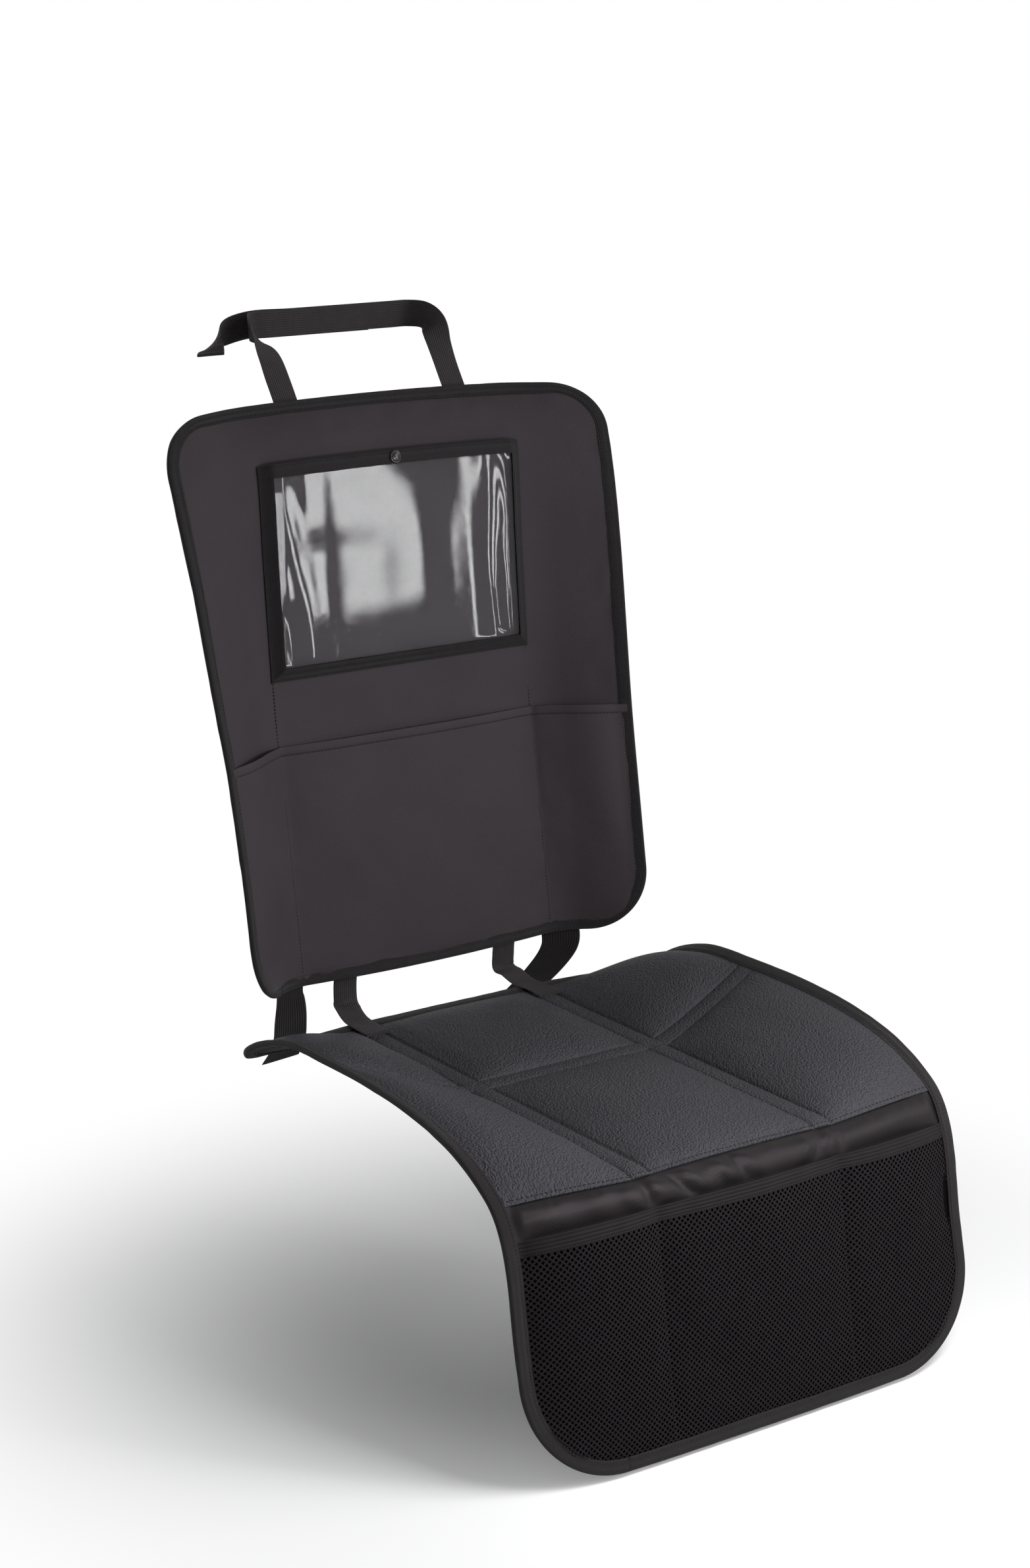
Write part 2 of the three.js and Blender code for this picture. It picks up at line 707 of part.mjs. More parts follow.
function seatCover() {
  const middle = rangePlaces(padColumns[1], padShares.filter((share) => share !== 0.5));
  const columns = [...leftColumns(padShares), ...middle, ...sideColumns(padShares)];
  return matSheet(seatMat, columns, coverRows, (u, s) => {
    const lift = coverSeat + padLift(u, s);
    return [lift, lift + coverThickness];
  });
}

// Foam fills a pad up to the cover and stops short of the seams round it.
function foamPad(across, along) {
  const isInside = (range) => (value) => value > range[0] + foamInset / 2 && value < range[1] - foamInset / 2;
  const columns = rangePlaces(across, [0.08, 0.5, 0.92]);
  const rows = coverRows.filter(isInside(along));
  return matSheet(seatMat, columns, rows, (u, s) => {
    return [coverSeat + foamGap, coverSeat + padLift(u, s) - foamGap];
  });
}

// Rows of the flap, up to the seam where the cover begins
const flapRows = [
  ...cornerRows(seatMat, false), 140, elasticTop - elasticWidth, elasticTop,
  elasticTop + 8, elasticTop + 14, elasticTop + 20, frontSeam - clearance,
];
const seatColumns = bothSides(sideColumns(plainShares));
const seatRows = [...flapRows, ...rearRows(baseShares, [0, 0.25, 0.5, 0.73])];

function baseSheet() {
  return matSheet(seatMat, seatColumns, seatRows, () => [0, baseFace]);
}

function seatBinding() {
  return binding(seatMat, outline(seatMat, seatColumns, seatRows), 0, seatStack);
}

// Flap: a satin panel that gathers below the front seam, with a net pocket and its elastic on top
const satinSeat = coverSeat;
const satinFace = satinSeat + satinThickness;
const netTop = elasticTop - (elasticWidth - netOverlap);
const flapInset = bindingWidth + 3;

function gatherLift(u, s) {
  const down = (frontSeam - s) / elasticDrop;
  if (down <= 0 || down >= 1 || Math.abs(u) >= sidePadEdge) return 0;
  const fold = 0.5 - 0.5 * Math.cos((u / seatHalfWidth + 1) * Math.PI * gatherCount);
  return gatherHeight * fold * Math.sin(down * Math.PI);
}

function frontPanel() {
  const middle = spread(-channelEdge, channelEdge, 12).slice(1, -1);
  const columns = [...leftColumns(plainShares), ...middle, ...sideColumns(plainShares)];
  return matSheet(seatMat, columns, flapRows, (u, s) => {
    const lift = satinSeat + gatherLift(u, s);
    return [lift, lift + satinThickness];
  });
}

function netLift(u, s) {
  const share = THREE.MathUtils.clamp((s - flapInset) / (elasticTop - flapInset), 0, 1);
  const along = Math.sin((share * Math.PI) / 2) ** 0.7;
  const outer = seatHalfWidth - flapInset;
  const isMiddle = Math.abs(u) <= channelOffset;
  const across = isMiddle ? (u / channelOffset + 1) / 2 : (Math.abs(u) - channelOffset) / (outer - channelOffset);
  return netGape * along * (1 - Math.abs(2 * THREE.MathUtils.clamp(across, 0, 1) - 1) ** 2.5);
}

// Bars and gaps in turn, from one edge of a compartment to the other
function netPlaces(low, high, gaps) {
  const gap = (high - low - netBarWidth * (gaps + 1)) / gaps;
  return Array.from({ length: gaps * 2 + 2 }, (_, i) => {
    return low + netBarWidth * Math.ceil(i / 2) + gap * Math.floor(i / 2);
  });
}

const netOuter = seatHalfWidth - flapInset;
const netHalfBar = netBarWidth / 2;
const netMiddle = netPlaces(-channelOffset - netHalfBar, channelOffset + netHalfBar, 5);
const netSide = netPlaces(channelOffset - netHalfBar, netOuter, 3).slice(2);
const netColumns = [...netSide.map((u) => -u).reverse(), ...netMiddle, ...netSide];
const netSeat = satinFace + foldClearance;

function netPocket() {
  const rows = [flapInset, 32, 41, 66, 75, 100, 109, 134, 143, 168, netTop - 10, netTop];
  return matSheet(seatMat, netColumns, rows, (u, s) => {
    const lift = netSeat + netLift(u, s);
    return [lift, lift + netThickness];
  }, (column, row) => column % 2 === 1 && row % 2 === 0 && row > 1 && row < rows.length - 2);
}

function elasticEdge() {
  const base = netSeat + netThickness + clearance;
  return matSheet(seatMat, netColumns, [elasticTop - elasticWidth, elasticTop], (u, s) => {
    const lift = base + netLift(u, s);
    return [lift, lift + elasticThickness];
  });
}

function finish(color, roughness, metalness = 0) {
  return new THREE.MeshStandardMaterial({ color, roughness, metalness });
}

const polyester = finish(0x2c292b, 0.62);
const twill = finish(0x1d1b1c, 0.85);
const webbing = finish(0x1f1c1d, 0.8);
const hookTape = finish(0x171616, 0.9);
const film = new THREE.MeshStandardMaterial({ color: 0xdfe6ea, roughness: 0.06, transparent: true, opacity: 0.25 });
const snapMetal = finish(0x121213, 0.25, 0.6);
const leatherette = finish(0x323236, 0.5);
const foam = finish(0x4a4a4c, 0.95);
const gripCloth = finish(0x1b1b1c, 0.9);
const satin = finish(0x1f1c1e, 0.45);
const net = finish(0x161516, 0.6);

const protector = new THREE.Group();

function add(name, geometry, material) {
  const mesh = new THREE.Mesh(geometry, material);
  mesh.name = name;
  protector.add(mesh);
}

add("back_panel", backPanel(), polyester);
add("back_binding", backBinding(), twill);
add("pocket_panel", pocketPanel(), polyester);
add("window_film", windowFilm(), film);
add("window_tape_top", windowTapeTop(), twill);
add("window_tape_bottom", windowTapeBottom(), twill);
add("window_tape_left", windowTapeSide(-1), twill);
add("window_tape_right", windowTapeSide(1), twill);
add("snap_cap", snapCap(), snapMetal);
add("snap_socket", snapSocket(), snapMetal);
add("snap_stud", snapStud(), snapMetal);
add("head_strap_left", headStrapLeft(), webbing);
add("head_strap_right", headStrapRight(), webbing);
add("loop_tape", patch(leftRun + layerStep), hookTape);
add("hook_tape", patch(leftRun + layerStep + patchThickness + clearance), hookTape);
add("lower_strap_left", lowerStrap(-1), webbing);
add("lower_strap_right", lowerStrap(1), webbing);
add("elastic_strap_left", elasticBand(-1), webbing);
add("elastic_strap_right", elasticBand(1), webbing);
add("seat_cover", seatCover(), leatherette);
["left", "middle", "right"].forEach((side, column) => {
  ["front", "rear"].forEach((end, row) => {
    add(`foam_${end}_${side}`, foamPad(padColumns[column], padRows[row]), foam);
  });
});
add("base_sheet", baseSheet(), gripCloth);
add("seat_binding", seatBinding(), twill);
add("front_panel", frontPanel(), satin);
add("net_pocket", netPocket(), net);
add("elastic_edge", elasticEdge(), webbing);

export default protector;
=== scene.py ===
# A car seat protector: a back mat that hangs from two straps, with a clear window pocket and cloth pockets,
# and a quilted seat mat with a net-pocket flap. Lengths are in millimetres until a mesh is made.
import math
import bmesh
import bpy
import numpy as np
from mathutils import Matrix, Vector


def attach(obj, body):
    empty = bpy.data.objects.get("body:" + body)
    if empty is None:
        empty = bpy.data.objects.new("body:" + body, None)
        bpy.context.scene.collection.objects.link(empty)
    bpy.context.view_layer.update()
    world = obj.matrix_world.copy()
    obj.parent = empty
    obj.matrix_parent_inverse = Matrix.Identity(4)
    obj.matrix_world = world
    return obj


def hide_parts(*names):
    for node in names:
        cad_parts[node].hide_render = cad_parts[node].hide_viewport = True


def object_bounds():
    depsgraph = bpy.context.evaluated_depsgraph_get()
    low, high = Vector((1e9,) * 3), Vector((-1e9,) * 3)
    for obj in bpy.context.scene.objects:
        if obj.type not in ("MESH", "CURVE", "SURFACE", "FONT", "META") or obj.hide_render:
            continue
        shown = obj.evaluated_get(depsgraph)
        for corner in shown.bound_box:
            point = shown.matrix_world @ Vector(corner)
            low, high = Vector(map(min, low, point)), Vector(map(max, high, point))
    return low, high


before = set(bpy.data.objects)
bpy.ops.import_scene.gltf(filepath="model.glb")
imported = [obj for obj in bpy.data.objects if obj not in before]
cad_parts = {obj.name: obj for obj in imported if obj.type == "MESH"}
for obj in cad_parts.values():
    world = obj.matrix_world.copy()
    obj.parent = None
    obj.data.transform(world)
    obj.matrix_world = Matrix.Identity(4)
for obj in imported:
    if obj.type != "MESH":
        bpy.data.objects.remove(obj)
solid_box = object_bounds()

# Camera: in front of the protector, to its left and a little above, as in the photograph
camera_place = Vector((-1.4996, -2.0368, 0.9496))
camera_azimuth = math.radians(-35.02)
camera_elevation = math.radians(15.13)
towards_camera = Vector((
    math.sin(camera_azimuth) * math.cos(camera_elevation),
    -math.cos(camera_azimuth) * math.cos(camera_elevation),
    math.sin(camera_elevation),
))


def new_object(name, data):
    made = bpy.data.objects.new(name, data)
    bpy.context.scene.collection.objects.link(made)
    return made


camera = new_object("camera", bpy.data.cameras.new("camera"))
camera.data.lens = 70.34
camera.data.sensor_width = 36
camera.location = camera_place
camera.rotation_euler = towards_camera.to_track_quat("Z", "Y").to_euler()
bpy.context.scene.camera = camera
bpy.context.scene.view_settings.view_transform = "Standard"

# Studio: a pale floor that fades into white, a world that is white where it is seen, broad soft lights from
# the right, the left and the rear, a box over the front, and three strip lamps that streak the clear film
floor_level = solid_box[0][2] - 0.003
fade_start, fade_end = 0.15, 0.72
film_middle = (0, 0.29, 0.42)


def feed(tree, socket, what):
    """Links another node's output to a socket, or sets the socket's own value."""
    if isinstance(what, bpy.types.NodeSocket):
        tree.links.new(what, socket)
    else:
        socket.default_value = what


def add_node(tree, kind, inputs=(), **settings):
    """A new node. inputs maps its sockets, by name or number, to what goes into them."""
    made = tree.nodes.new(kind)
    for setting, value in settings.items():
        setattr(made, setting, value)
    for socket, what in dict(inputs).items():
        feed(tree, made.inputs[socket], what)
    return made


def maths(tree, operation, *values):
    return add_node(tree, "ShaderNodeMath", enumerate(values), operation=operation).outputs[0]


def white_where_seen(tree, dim, seen):
    """The seen shader for rays that should meet the white background, and the dim one for the others."""
    path = add_node(tree, "ShaderNodeLightPath").outputs
    either = maths(tree, "MAXIMUM", path["Is Camera Ray"], path["Is Transmission Ray"])
    any_ray = maths(tree, "MAXIMUM", either, path["Is Glossy Ray"])
    return add_node(tree, "ShaderNodeMixShader", {0: any_ray, 1: dim, 2: seen}).outputs[0]


world = bpy.data.worlds.new("studio")
bpy.context.scene.world = world
world.use_nodes = True
sky = world.node_tree
dim_light = sky.nodes["Background"]
dim_light.inputs["Color"].default_value = (0.95, 0.97, 1, 1)
dim_light.inputs["Strength"].default_value = 0.12
seen_light = add_node(sky, "ShaderNodeBackground", {"Color": (1, 1, 1, 1), "Strength": 1})
shown_sky = white_where_seen(sky, dim_light.outputs[0], seen_light.outputs[0])
feed(sky, sky.nodes["World Output"].inputs["Surface"], shown_sky)


def new_material(name, values):
    """A new material and its shader, with the given values set on the shader's own sockets."""
    material = bpy.data.materials.new(name)
    material.use_nodes = True
    shader = material.node_tree.nodes["Principled BSDF"]
    for socket, value in values.items():
        shader.inputs[socket].default_value = value
    return material, shader


def floor_paint():
    """White paint. Far from the part it is plain white to the camera, so that no horizon shows."""
    finish, paint = new_material("floor_paint", {
        "Base Color": (0.93, 0.93, 0.93, 1), "Roughness": 0.9, "Specular IOR Level": 0.1})
    tree = finish.node_tree
    place = add_node(tree, "ShaderNodeTexCoord").outputs["Object"]
    reach = add_node(tree, "ShaderNodeVectorMath", {0: place}, operation="LENGTH").outputs["Value"]
    stretch = {"From Min": fade_start, "From Max": fade_end, "Value": reach}
    fade = add_node(tree, "ShaderNodeMapRange", stretch, interpolation_type="SMOOTHSTEP").outputs["Result"]
    glow = add_node(tree, "ShaderNodeEmission").outputs[0]
    far = add_node(tree, "ShaderNodeMixShader", {0: fade, 1: paint.outputs[0], 2: glow}).outputs[0]
    shown_floor = white_where_seen(tree, paint.outputs[0], far)
    feed(tree, tree.nodes["Material Output"].inputs["Surface"], shown_floor)
    return finish


bpy.ops.mesh.primitive_plane_add(size=24, location=(0, 0, floor_level))
floor = bpy.context.object
floor.name = "studio_floor"
floor.data.materials.append(floor_paint())


def new_lamp(name, kind, strength, way):
    lamp = new_object(name, bpy.data.lights.new(name, kind))
    lamp.data.energy = strength
    lamp.rotation_euler = Vector(way).to_track_quat("Z", "Y").to_euler()
    return lamp


for name, way, strength, width in (
    ("right_light", (1.1, -0.7, 0.7), 1.0, 28),
    ("left_light", (-1.0, -0.45, 0.9), 0.3, 50),
    ("rear_light", (-0.35, 1.0, 0.3), 0.9, 40),
):
    new_lamp(name, "SUN", strength, way).data.angle = math.radians(width)
for name, place, aim, size, power in (
    ("front_box", (0.1, -0.6, 0.42), (0, -0.15, 0.03), (0.4, 0.2), 5.2),
    ("strip_near", (1.25, -2.05, 0.66), film_middle, (0.045, 1.3), 6.5),
    ("strip_middle", (1.42, -2.05, 0.85), film_middle, (0.1, 1.25), 12),
    ("strip_far", (1.69, -2.05, 0.66), film_middle, (0.04, 1.3), 5.5),
):
    lamp = new_lamp(name, "AREA", power, Vector(place) - Vector(aim))
    lamp.location = place
    lamp.data.shape = "RECTANGLE"
    lamp.data.size, lamp.data.size_y = size

# Shape of the two mats: a surface across (u) and along (s), with a height (h) above it, in the same places
# as the solids. The back mat bends forward at its sides, and the seat mat rises towards its sides.
metre = 0.001
seat_centre = 205


def smooth_line(points, count=3000):
    """Points of a centripetal Catmull-Rom curve, evenly spread over its parameter from 0 to 1."""
    p = np.array(points, float)
    p = np.array([2 * p[0] - p[1], *p, 2 * p[-1] - p[-2]])
    share = np.linspace(0, 1, count) * (len(points) - 1)
    part = np.minimum(share.astype(int), len(points) - 2)
    w = (share - part)[:, None]
    p0, p1, p2, p3 = (p[part + i] for i in range(4))
    d0, d1, d2 = (np.linalg.norm(b - a, axis=1)[:, None] ** 0.5 for a, b in ((p0, p1), (p1, p2), (p2, p3)))
    d1 = np.where(d1 < 1e-4, 1, d1)
    d0 = np.where(d0 < 1e-4, d1, d0)
    d2 = np.where(d2 < 1e-4, d1, d2)
    m1 = ((p1 - p0) / d0 - (p2 - p0) / (d0 + d1) + (p2 - p1) / d1) * d1
    m2 = ((p2 - p1) / d1 - (p3 - p1) / (d1 + d2) + (p3 - p2) / d2) * d1
    return p1 + m1 * w + (3 * (p2 - p1) - 2 * m1 - m2) * w ** 2 + (2 * (p1 - p2) + m1 + m2) * w ** 3


def read_line(table, share):
    """Rows of an evenly spread table, at shares of its length."""
    every = np.linspace(0, 1, len(table))
    return np.stack([np.interp(share, every, column) for column in table.T], -1)


def lengths_along(places):
    return np.concatenate([[0], np.cumsum(np.linalg.norm(np.diff(places, axis=0), axis=1))])


def unit(ways):
    return ways / np.linalg.norm(ways, axis=-1, keepdims=True)


class Line:
    """A side view of a mat: how far along it a length reaches, and where that is."""

    def __init__(self, points):
        self.points = smooth_line(points)
        self.steps = np.linspace(0, 1, 201)
        self.walked = lengths_along(self.at(self.steps))
        self.length = self.walked[-1]

    def at(self, share):
        return read_line(self.points, share)

    def station(self, s):
        return np.interp(s, self.walked, self.steps)


class Mat:
    """One mat: its size, rounded corners and bowed ends, and the surface that it follows."""

    def __init__(self, surface, half, length, low_radius, high_radius, low_bow, high_bow, kept, dip=None):
        self.surface, self.half, self.length, self.kept = surface, half, length, kept
        self.dip = dip or (lambda s: 0)
        self.low_radius, self.high_radius = low_radius, high_radius
        self.low_bow, self.high_bow = low_bow, high_bow

    def lay(self, u, s, h):
        """Places on the mat, in metres."""
        u, s, h = np.broadcast_arrays(np.asarray(u, float), np.asarray(s, float), np.asarray(h, float))
        share = s / self.length
        bow = self.low_bow * (1 - share) - self.high_bow * share - self.dip(s)
        along = s + (u / self.half) ** 2 * bow
        held = np.clip(along, 0.5, self.length - 0.5)
        across = self.surface(u + 0.5, held) - self.surface(u - 0.5, held)
        up = self.surface(u, held + 0.5) - self.surface(u, held - 0.5)
        normal = unit(np.cross(across, up))
        past = unit(up) * (along - held)[..., None]
        return (self.surface(u, held) + past + normal * h[..., None]) * metre

    def facing(self, u, s):
        return unit(self.lay(u, s, 1) - self.lay(u, s, 0))

    def half_at(self, s, inset):
        """Half the width of the outline at s, or of a line that runs the given inset inside it."""
        def cut(radius, distance):
            r = radius - inset
            return np.where(distance < r, r - np.sqrt(np.maximum(r * r - (r - distance) ** 2, 0)), 0)
        low = cut(self.low_radius, s - inset)
        high = cut(self.high_radius, self.length - inset - s)
        return self.half - inset - np.maximum(low, high)

    def place(self, u, s):
        """Where a column of cloth runs: straight near the middle, along the outline further out."""
        size = np.abs(u)
        out = self.half_at(s, 0)
        moved = self.kept + (size - self.kept) * (out - self.kept) / (self.half - self.kept)
        return np.sign(u) * np.where(size <= self.kept, size, moved)

    def rim(self, step):
        """Stations round the outline: u, s and the direction out of the mat, about one step apart."""
        stations = []
        last = np.array((self.low_radius - self.half, 0.0))
        for turns, (side, high) in enumerate(((1, False), (1, True), (-1, True), (-1, False))):
            radius = self.high_radius if high else self.low_radius
            centre = np.array((side * (self.half - radius), self.length - radius if high else radius))
            first = 90 * turns - 90
            angles = np.radians(np.arange(first, first + 90.1, 90 / max(round(radius * 1.57 / step), 4)))
            ways = np.stack([np.cos(angles), np.sin(angles)], -1)
            arc = centre + radius * ways
            count = max(int(math.dist(last, arc[0]) / step + 1e-6), 2)
            stations += [(*(last + (arc[0] - last) * i / count), *ways[0]) for i in range(1, count)]
            stations += np.hstack([arc, ways]).tolist()
            last = arc[-1]
        return np.array(stations)


back_line = Line([
    (448, 41), (465, 144), (484, 259), (491, 318), (500, 415), (509, 513), (519, 541), (534, 563),
])
back_bends = Line([(42, 0), (42, 0), (39, 0), (34, 0), (25, 0), (11, 0), (11, 0), (17, 0)])
bend_start, bend_length = 128, 48


def back_surface(u, s):
    share = back_line.station(s)
    y, z = np.moveaxis(back_line.at(share), -1, 0)
    bend = np.radians(back_bends.at(share)[..., 0])
    past = np.maximum(np.abs(u) - bend_start, 0)
    curve = bend / bend_length
    turned = np.minimum(past, bend_length) * curve
    straight = np.maximum(past - bend_length, 0)
    across = bend_start + np.sin(turned) / curve + straight * np.cos(bend)
    forward = (1 - np.cos(turned)) / curve + straight * np.sin(bend)
    x = np.where(np.abs(u) <= bend_start, u, np.sign(u) * across)
    return np.stack([x, y - forward - seat_centre, z], -1)


seat_line = Line([
    (-56, -225), (-46, -165), (-36, -105), (-26, -45), (-20, -20), (-14, -9), (0, -1),
    (35, 0), (90, 0), (160, 0), (230, 0), (300, 0), (370, 0), (424, 1),
])
seat_sides = Line([
    (-54, -225), (-40, -166), (-26, -107), (-16, -50), (-8, -24), (4, -4), (20, 9),
    (58, 28), (112, 41), (180, 47), (255, 47), (318, 44), (370, 27), (416, -3),
])
channel_place, channel_half, seat_half = 96, 10, 234
channel_edge = channel_place + channel_half


def seat_surface(u, s):
    share = seat_line.station(s)
    raised = np.clip((np.abs(u) - channel_edge) / (seat_half - channel_edge), 0, None) ** 1.15
    yz = seat_line.at(share) + (seat_sides.at(share) - seat_line.at(share)) * raised[..., None]
    return np.stack([u, yz[..., 0] - seat_centre, yz[..., 1]], -1)


front_seam, cross_channel = seat_line.length - 428, seat_line.length - 193
band_width = 27
elastic_top = front_seam - band_width


def smooth_step(value, start, end):
    x = np.clip((np.asarray(value, float) - start) / (end - start), 0, 1)
    return x * x * (3 - 2 * x)


def seam_dip(s):
    """The front seam lies lower at its ends. The dip fades out at the elastic and at the cross channel."""
    fading = 1 - smooth_step(s, front_seam, cross_channel)
    return 11 * np.where(s < front_seam, smooth_step(s, elastic_top, front_seam), fading)


back_half = 237
back = Mat(back_surface, back_half, back_line.length, 60, 48, 9, 8, 139)
seat = Mat(seat_surface, seat_half, seat_line.length, 88, 40, 2, 2, channel_edge, seam_dip)


# Back panel: two layers of dark polyester with a thin felt between them, cut with round corners. It is held
# only at its edge and by the straps, so it ripples a little along the binding and the seams.
def ripple(a, b, across, along, seed):
    """Smooth random waves from about -1 to 1, of the given sizes, the same in each run."""
    table = np.random.default_rng(seed).uniform(-1, 1, (256, 256))
    x, y = np.asarray(a, float) / across + 1000.5, np.asarray(b, float) / along + 1000.5
    i, j = np.floor(x).astype(int), np.floor(y).astype(int)
    fx, fy = smooth_step(x - i, 0, 1), smooth_step(y - j, 0, 1)
    corner = lambda p, q: table[(i + p) % 256, (j + q) % 256]
    low = corner(0, 0) * (1 - fx) + corner(1, 0) * fx
    high = corner(0, 1) * (1 - fx) + corner(1, 1) * fx
    return low * (1 - fy) + high * fy


def map_cloth(mesh, uv):
    """Gives a mesh its pattern coordinates, in metres, one pair for each point."""
    corners = np.zeros(len(mesh.loops), int)
    mesh.loops.foreach_get("vertex_index", corners)
    layer = mesh.uv_layers.new(name="cloth")
    layer.data.foreach_set("uv", np.asarray(uv, float)[corners].ravel())


def ride_as(piece, slot, angle=None):
    """Shades a piece softly, with sharp edges past the angle, and lets it ride with the part."""
    piece.data.shade_smooth()
    if angle:
        piece.data.set_sharp_from_angle(angle=math.radians(angle))
    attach(piece, "root")
    return piece


def finished(name, verts, faces, uv, material, slot, angle=50):
    """A closed piece with its pattern coordinates."""
    mesh = bpy.data.meshes.new(name)
    mesh.from_pydata(verts, [], faces)
    map_cloth(mesh, uv)
    tidy = bmesh.new()
    tidy.from_mesh(mesh)
    bmesh.ops.remove_doubles(tidy, verts=tidy.verts, dist=2e-6)
    bmesh.ops.dissolve_degenerate(tidy, edges=tidy.edges, dist=1e-7)
    bmesh.ops.recalc_face_normals(tidy, faces=tidy.faces)
    tidy.to_mesh(mesh)
    tidy.free()
    mesh.materials.append(material)
    return ride_as(new_object(name, mesh), slot, angle)


def quads(*corners):
    return np.stack(corners, -1).reshape(-1, 4)


def layered(name, low, high, uv, material, slot, angle=50):
    """A closed sheet between two grids of points, rows first."""
    rows, columns = low.shape[:2]
    upper = rows * columns
    number = np.arange(upper).reshape(rows, columns)
    a, b, c, d = number[:-1, :-1], number[:-1, 1:], number[1:, 1:], number[1:, :-1]
    edge = np.concatenate([number[0, :-1], number[:-1, -1], number[-1, :0:-1], number[:0:-1, 0]])
    ahead = np.roll(edge, -1)
    faces = [quads(a, b, c, d) + upper, quads(a, d, c, b), quads(edge, ahead, ahead + upper, edge + upper)]
    verts = np.concatenate([low.reshape(-1, 3), high.reshape(-1, 3)])
    flat = np.asarray(uv, float).reshape(-1, 2)
    return finished(name, verts, np.concatenate(faces).tolist(), np.concatenate([flat, flat]),
                    material, slot, angle)


def spread(low, high, step):
    return np.linspace(low, high, max(int(round((high - low) / step)), 1) + 1)


def through(*stops_and_steps):
    """Values from stop to stop: stop, step, stop, step, stop."""
    stops, steps = stops_and_steps[::2], stops_and_steps[1::2]
    parts = [spread(a, b, step)[:-1] for a, b, step in zip(stops, stops[1:], steps)]
    return np.concatenate([*parts, [stops[-1]]])


def mat_sheet(name, mat, columns, rows, heights, material, slot, angle=50):
    """A sheet on a mat. heights(u, s) gives the heights of its lower and upper face."""
    place, s = np.meshgrid(columns, rows)
    u = mat.place(place, s)
    low, high = heights(u, s)
    uv = np.stack([u, s], -1) * metre
    return layered(name, mat.lay(u, s, low), mat.lay(u, s, high), uv, material, slot, angle)


class Finish:
    """A procedural material. Its patterns follow the cloth, across and along it, or the object's place."""

    def __init__(self, name, specular, roughness=0.6):
        values = {"Specular IOR Level": specular, "Roughness": roughness}
        self.material, self.shader = new_material(name, values)
        self.cloth = self.add("ShaderNodeUVMap", uv_map="cloth").outputs[0]
        self.across, self.along, _ = self.add("ShaderNodeSeparateXYZ", {0: self.cloth}).outputs
        self.place = self.add("ShaderNodeTexCoord").outputs["Object"]

    def add(self, kind, inputs=(), **settings):
        return add_node(self.material.node_tree, kind, inputs, **settings)

    def maths(self, operation, *values):
        return maths(self.material.node_tree, operation, *values)

    def set(self, socket, what):
        feed(self.material.node_tree, self.shader.inputs[socket], what)

    def noise(self, where, scale, detail=2):
        return self.add("ShaderNodeTexNoise", {"Scale": scale, "Detail": detail, "Vector": where}).outputs

    def cells(self, where, scale):
        return self.add("ShaderNodeTexVoronoi", {"Scale": scale, "Vector": where}).outputs["Distance"]

    def wave(self, value, pitch):
        return self.maths("SINE", self.maths("MULTIPLY", value, 2 * math.pi / pitch))

    def crossed(self, pitch):
        """Threads that cross, from -1 to 1."""
        return self.maths("MULTIPLY", self.wave(self.across, pitch), self.wave(self.along, pitch))

    def raised(self, height, depth, strength):
        bump = self.add("ShaderNodeBump", {"Strength": strength, "Distance": depth, "Height": height})
        self.set("Normal", bump.outputs[0])

    def vary(self, socket, plain, pattern):
        """Links a pattern to a socket. The plain value stays there for viewers that don't read the nodes."""
        self.set(socket, plain)
        self.set(socket, pattern)

    def rough(self, pattern, share, least):
        self.vary("Roughness", least, self.maths("MULTIPLY_ADD", pattern, share, least))

    def mottled(self, where, dark, pale, scale, weave=None, share=0):
        """Colour that drifts between two tones. A weave, from -1 to 1, makes the given share of it."""
        drift = self.noise(where, scale, 5)["Fac"]
        if weave:
            shown = self.maths("MULTIPLY_ADD", weave, share / 2, share / 2)
            drift = self.maths("ADD", self.maths("MULTIPLY", drift, 1 - share), shown)
        ends = {"A": (*dark, 1), "B": (*pale, 1), "Factor": drift}
        tones = self.add("ShaderNodeMix", ends, data_type="RGBA").outputs["Result"]
        self.vary("Base Color", (*pale, 1), tones)


def make_polyester():
    """Plain-woven polyester: fine crossing threads, a soft sheen and slightly uneven colour."""
    finish = Finish("polyester", 0.07)
    threads = finish.crossed(0.0011)
    finish.raised(threads, 0.00012, 0.5)
    finish.rough(threads, 0.05, 0.58)
    finish.mottled(finish.cloth, (0.026, 0.022, 0.0246), (0.036, 0.0305, 0.034), 14)
    finish.set("Sheen Weight", 0.015)
    finish.set("Sheen Roughness", 0.4)
    finish.set("Specular Tint", (1, 0.9, 0.95, 1))
    return finish.material


polyester = make_polyester()
panel_half, pocket_hem = 1, 221
window_half, window_low, window_high, tape_width = 141, 280.5, 477, 12


def edge_pucker(mat, u, s, seed):
    """Short waves where the binding's seam draws the cloth in."""
    inward = np.minimum(mat.half_at(s, 0) - np.abs(u), np.minimum(s, mat.length - s))
    near = smooth_step(inward, 9, 13) * (1 - smooth_step(inward, 18, 48))
    return near * ripple(u + s, s - u, 26, 26, seed)


def back_panel_heights(u, s):
    """The cloth lies flat behind the film and behind the pockets, and is loose elsewhere."""
    beside = 1 - smooth_step(np.abs(u), window_half, window_half + 9)
    under_film = smooth_step(s, window_low - 7.5, window_low - 1.5) * beside * (s < window_high + 2)
    open_cloth = smooth_step(s, pocket_hem + 8, pocket_hem + 30) * (1 - under_film)
    shift = 0.9 * ripple(u, s, 85, 60, 3) * open_cloth * smooth_step(back.half - np.abs(u), 12, 40)
    shift = shift + 0.9 * edge_pucker(back, u, s, 4) * smooth_step(s, pocket_hem + 3, pocket_hem + 28)
    return shift - panel_half, shift + panel_half


back_rows = through(0, 2, back.low_radius, 6, back.length - back.high_radius, 2, back.length)
back_panel = mat_sheet("back_panel_cloth", back, spread(-back_half, back_half, 4.9), back_rows,
                       back_panel_heights, polyester, "polyester")
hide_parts("back_panel")


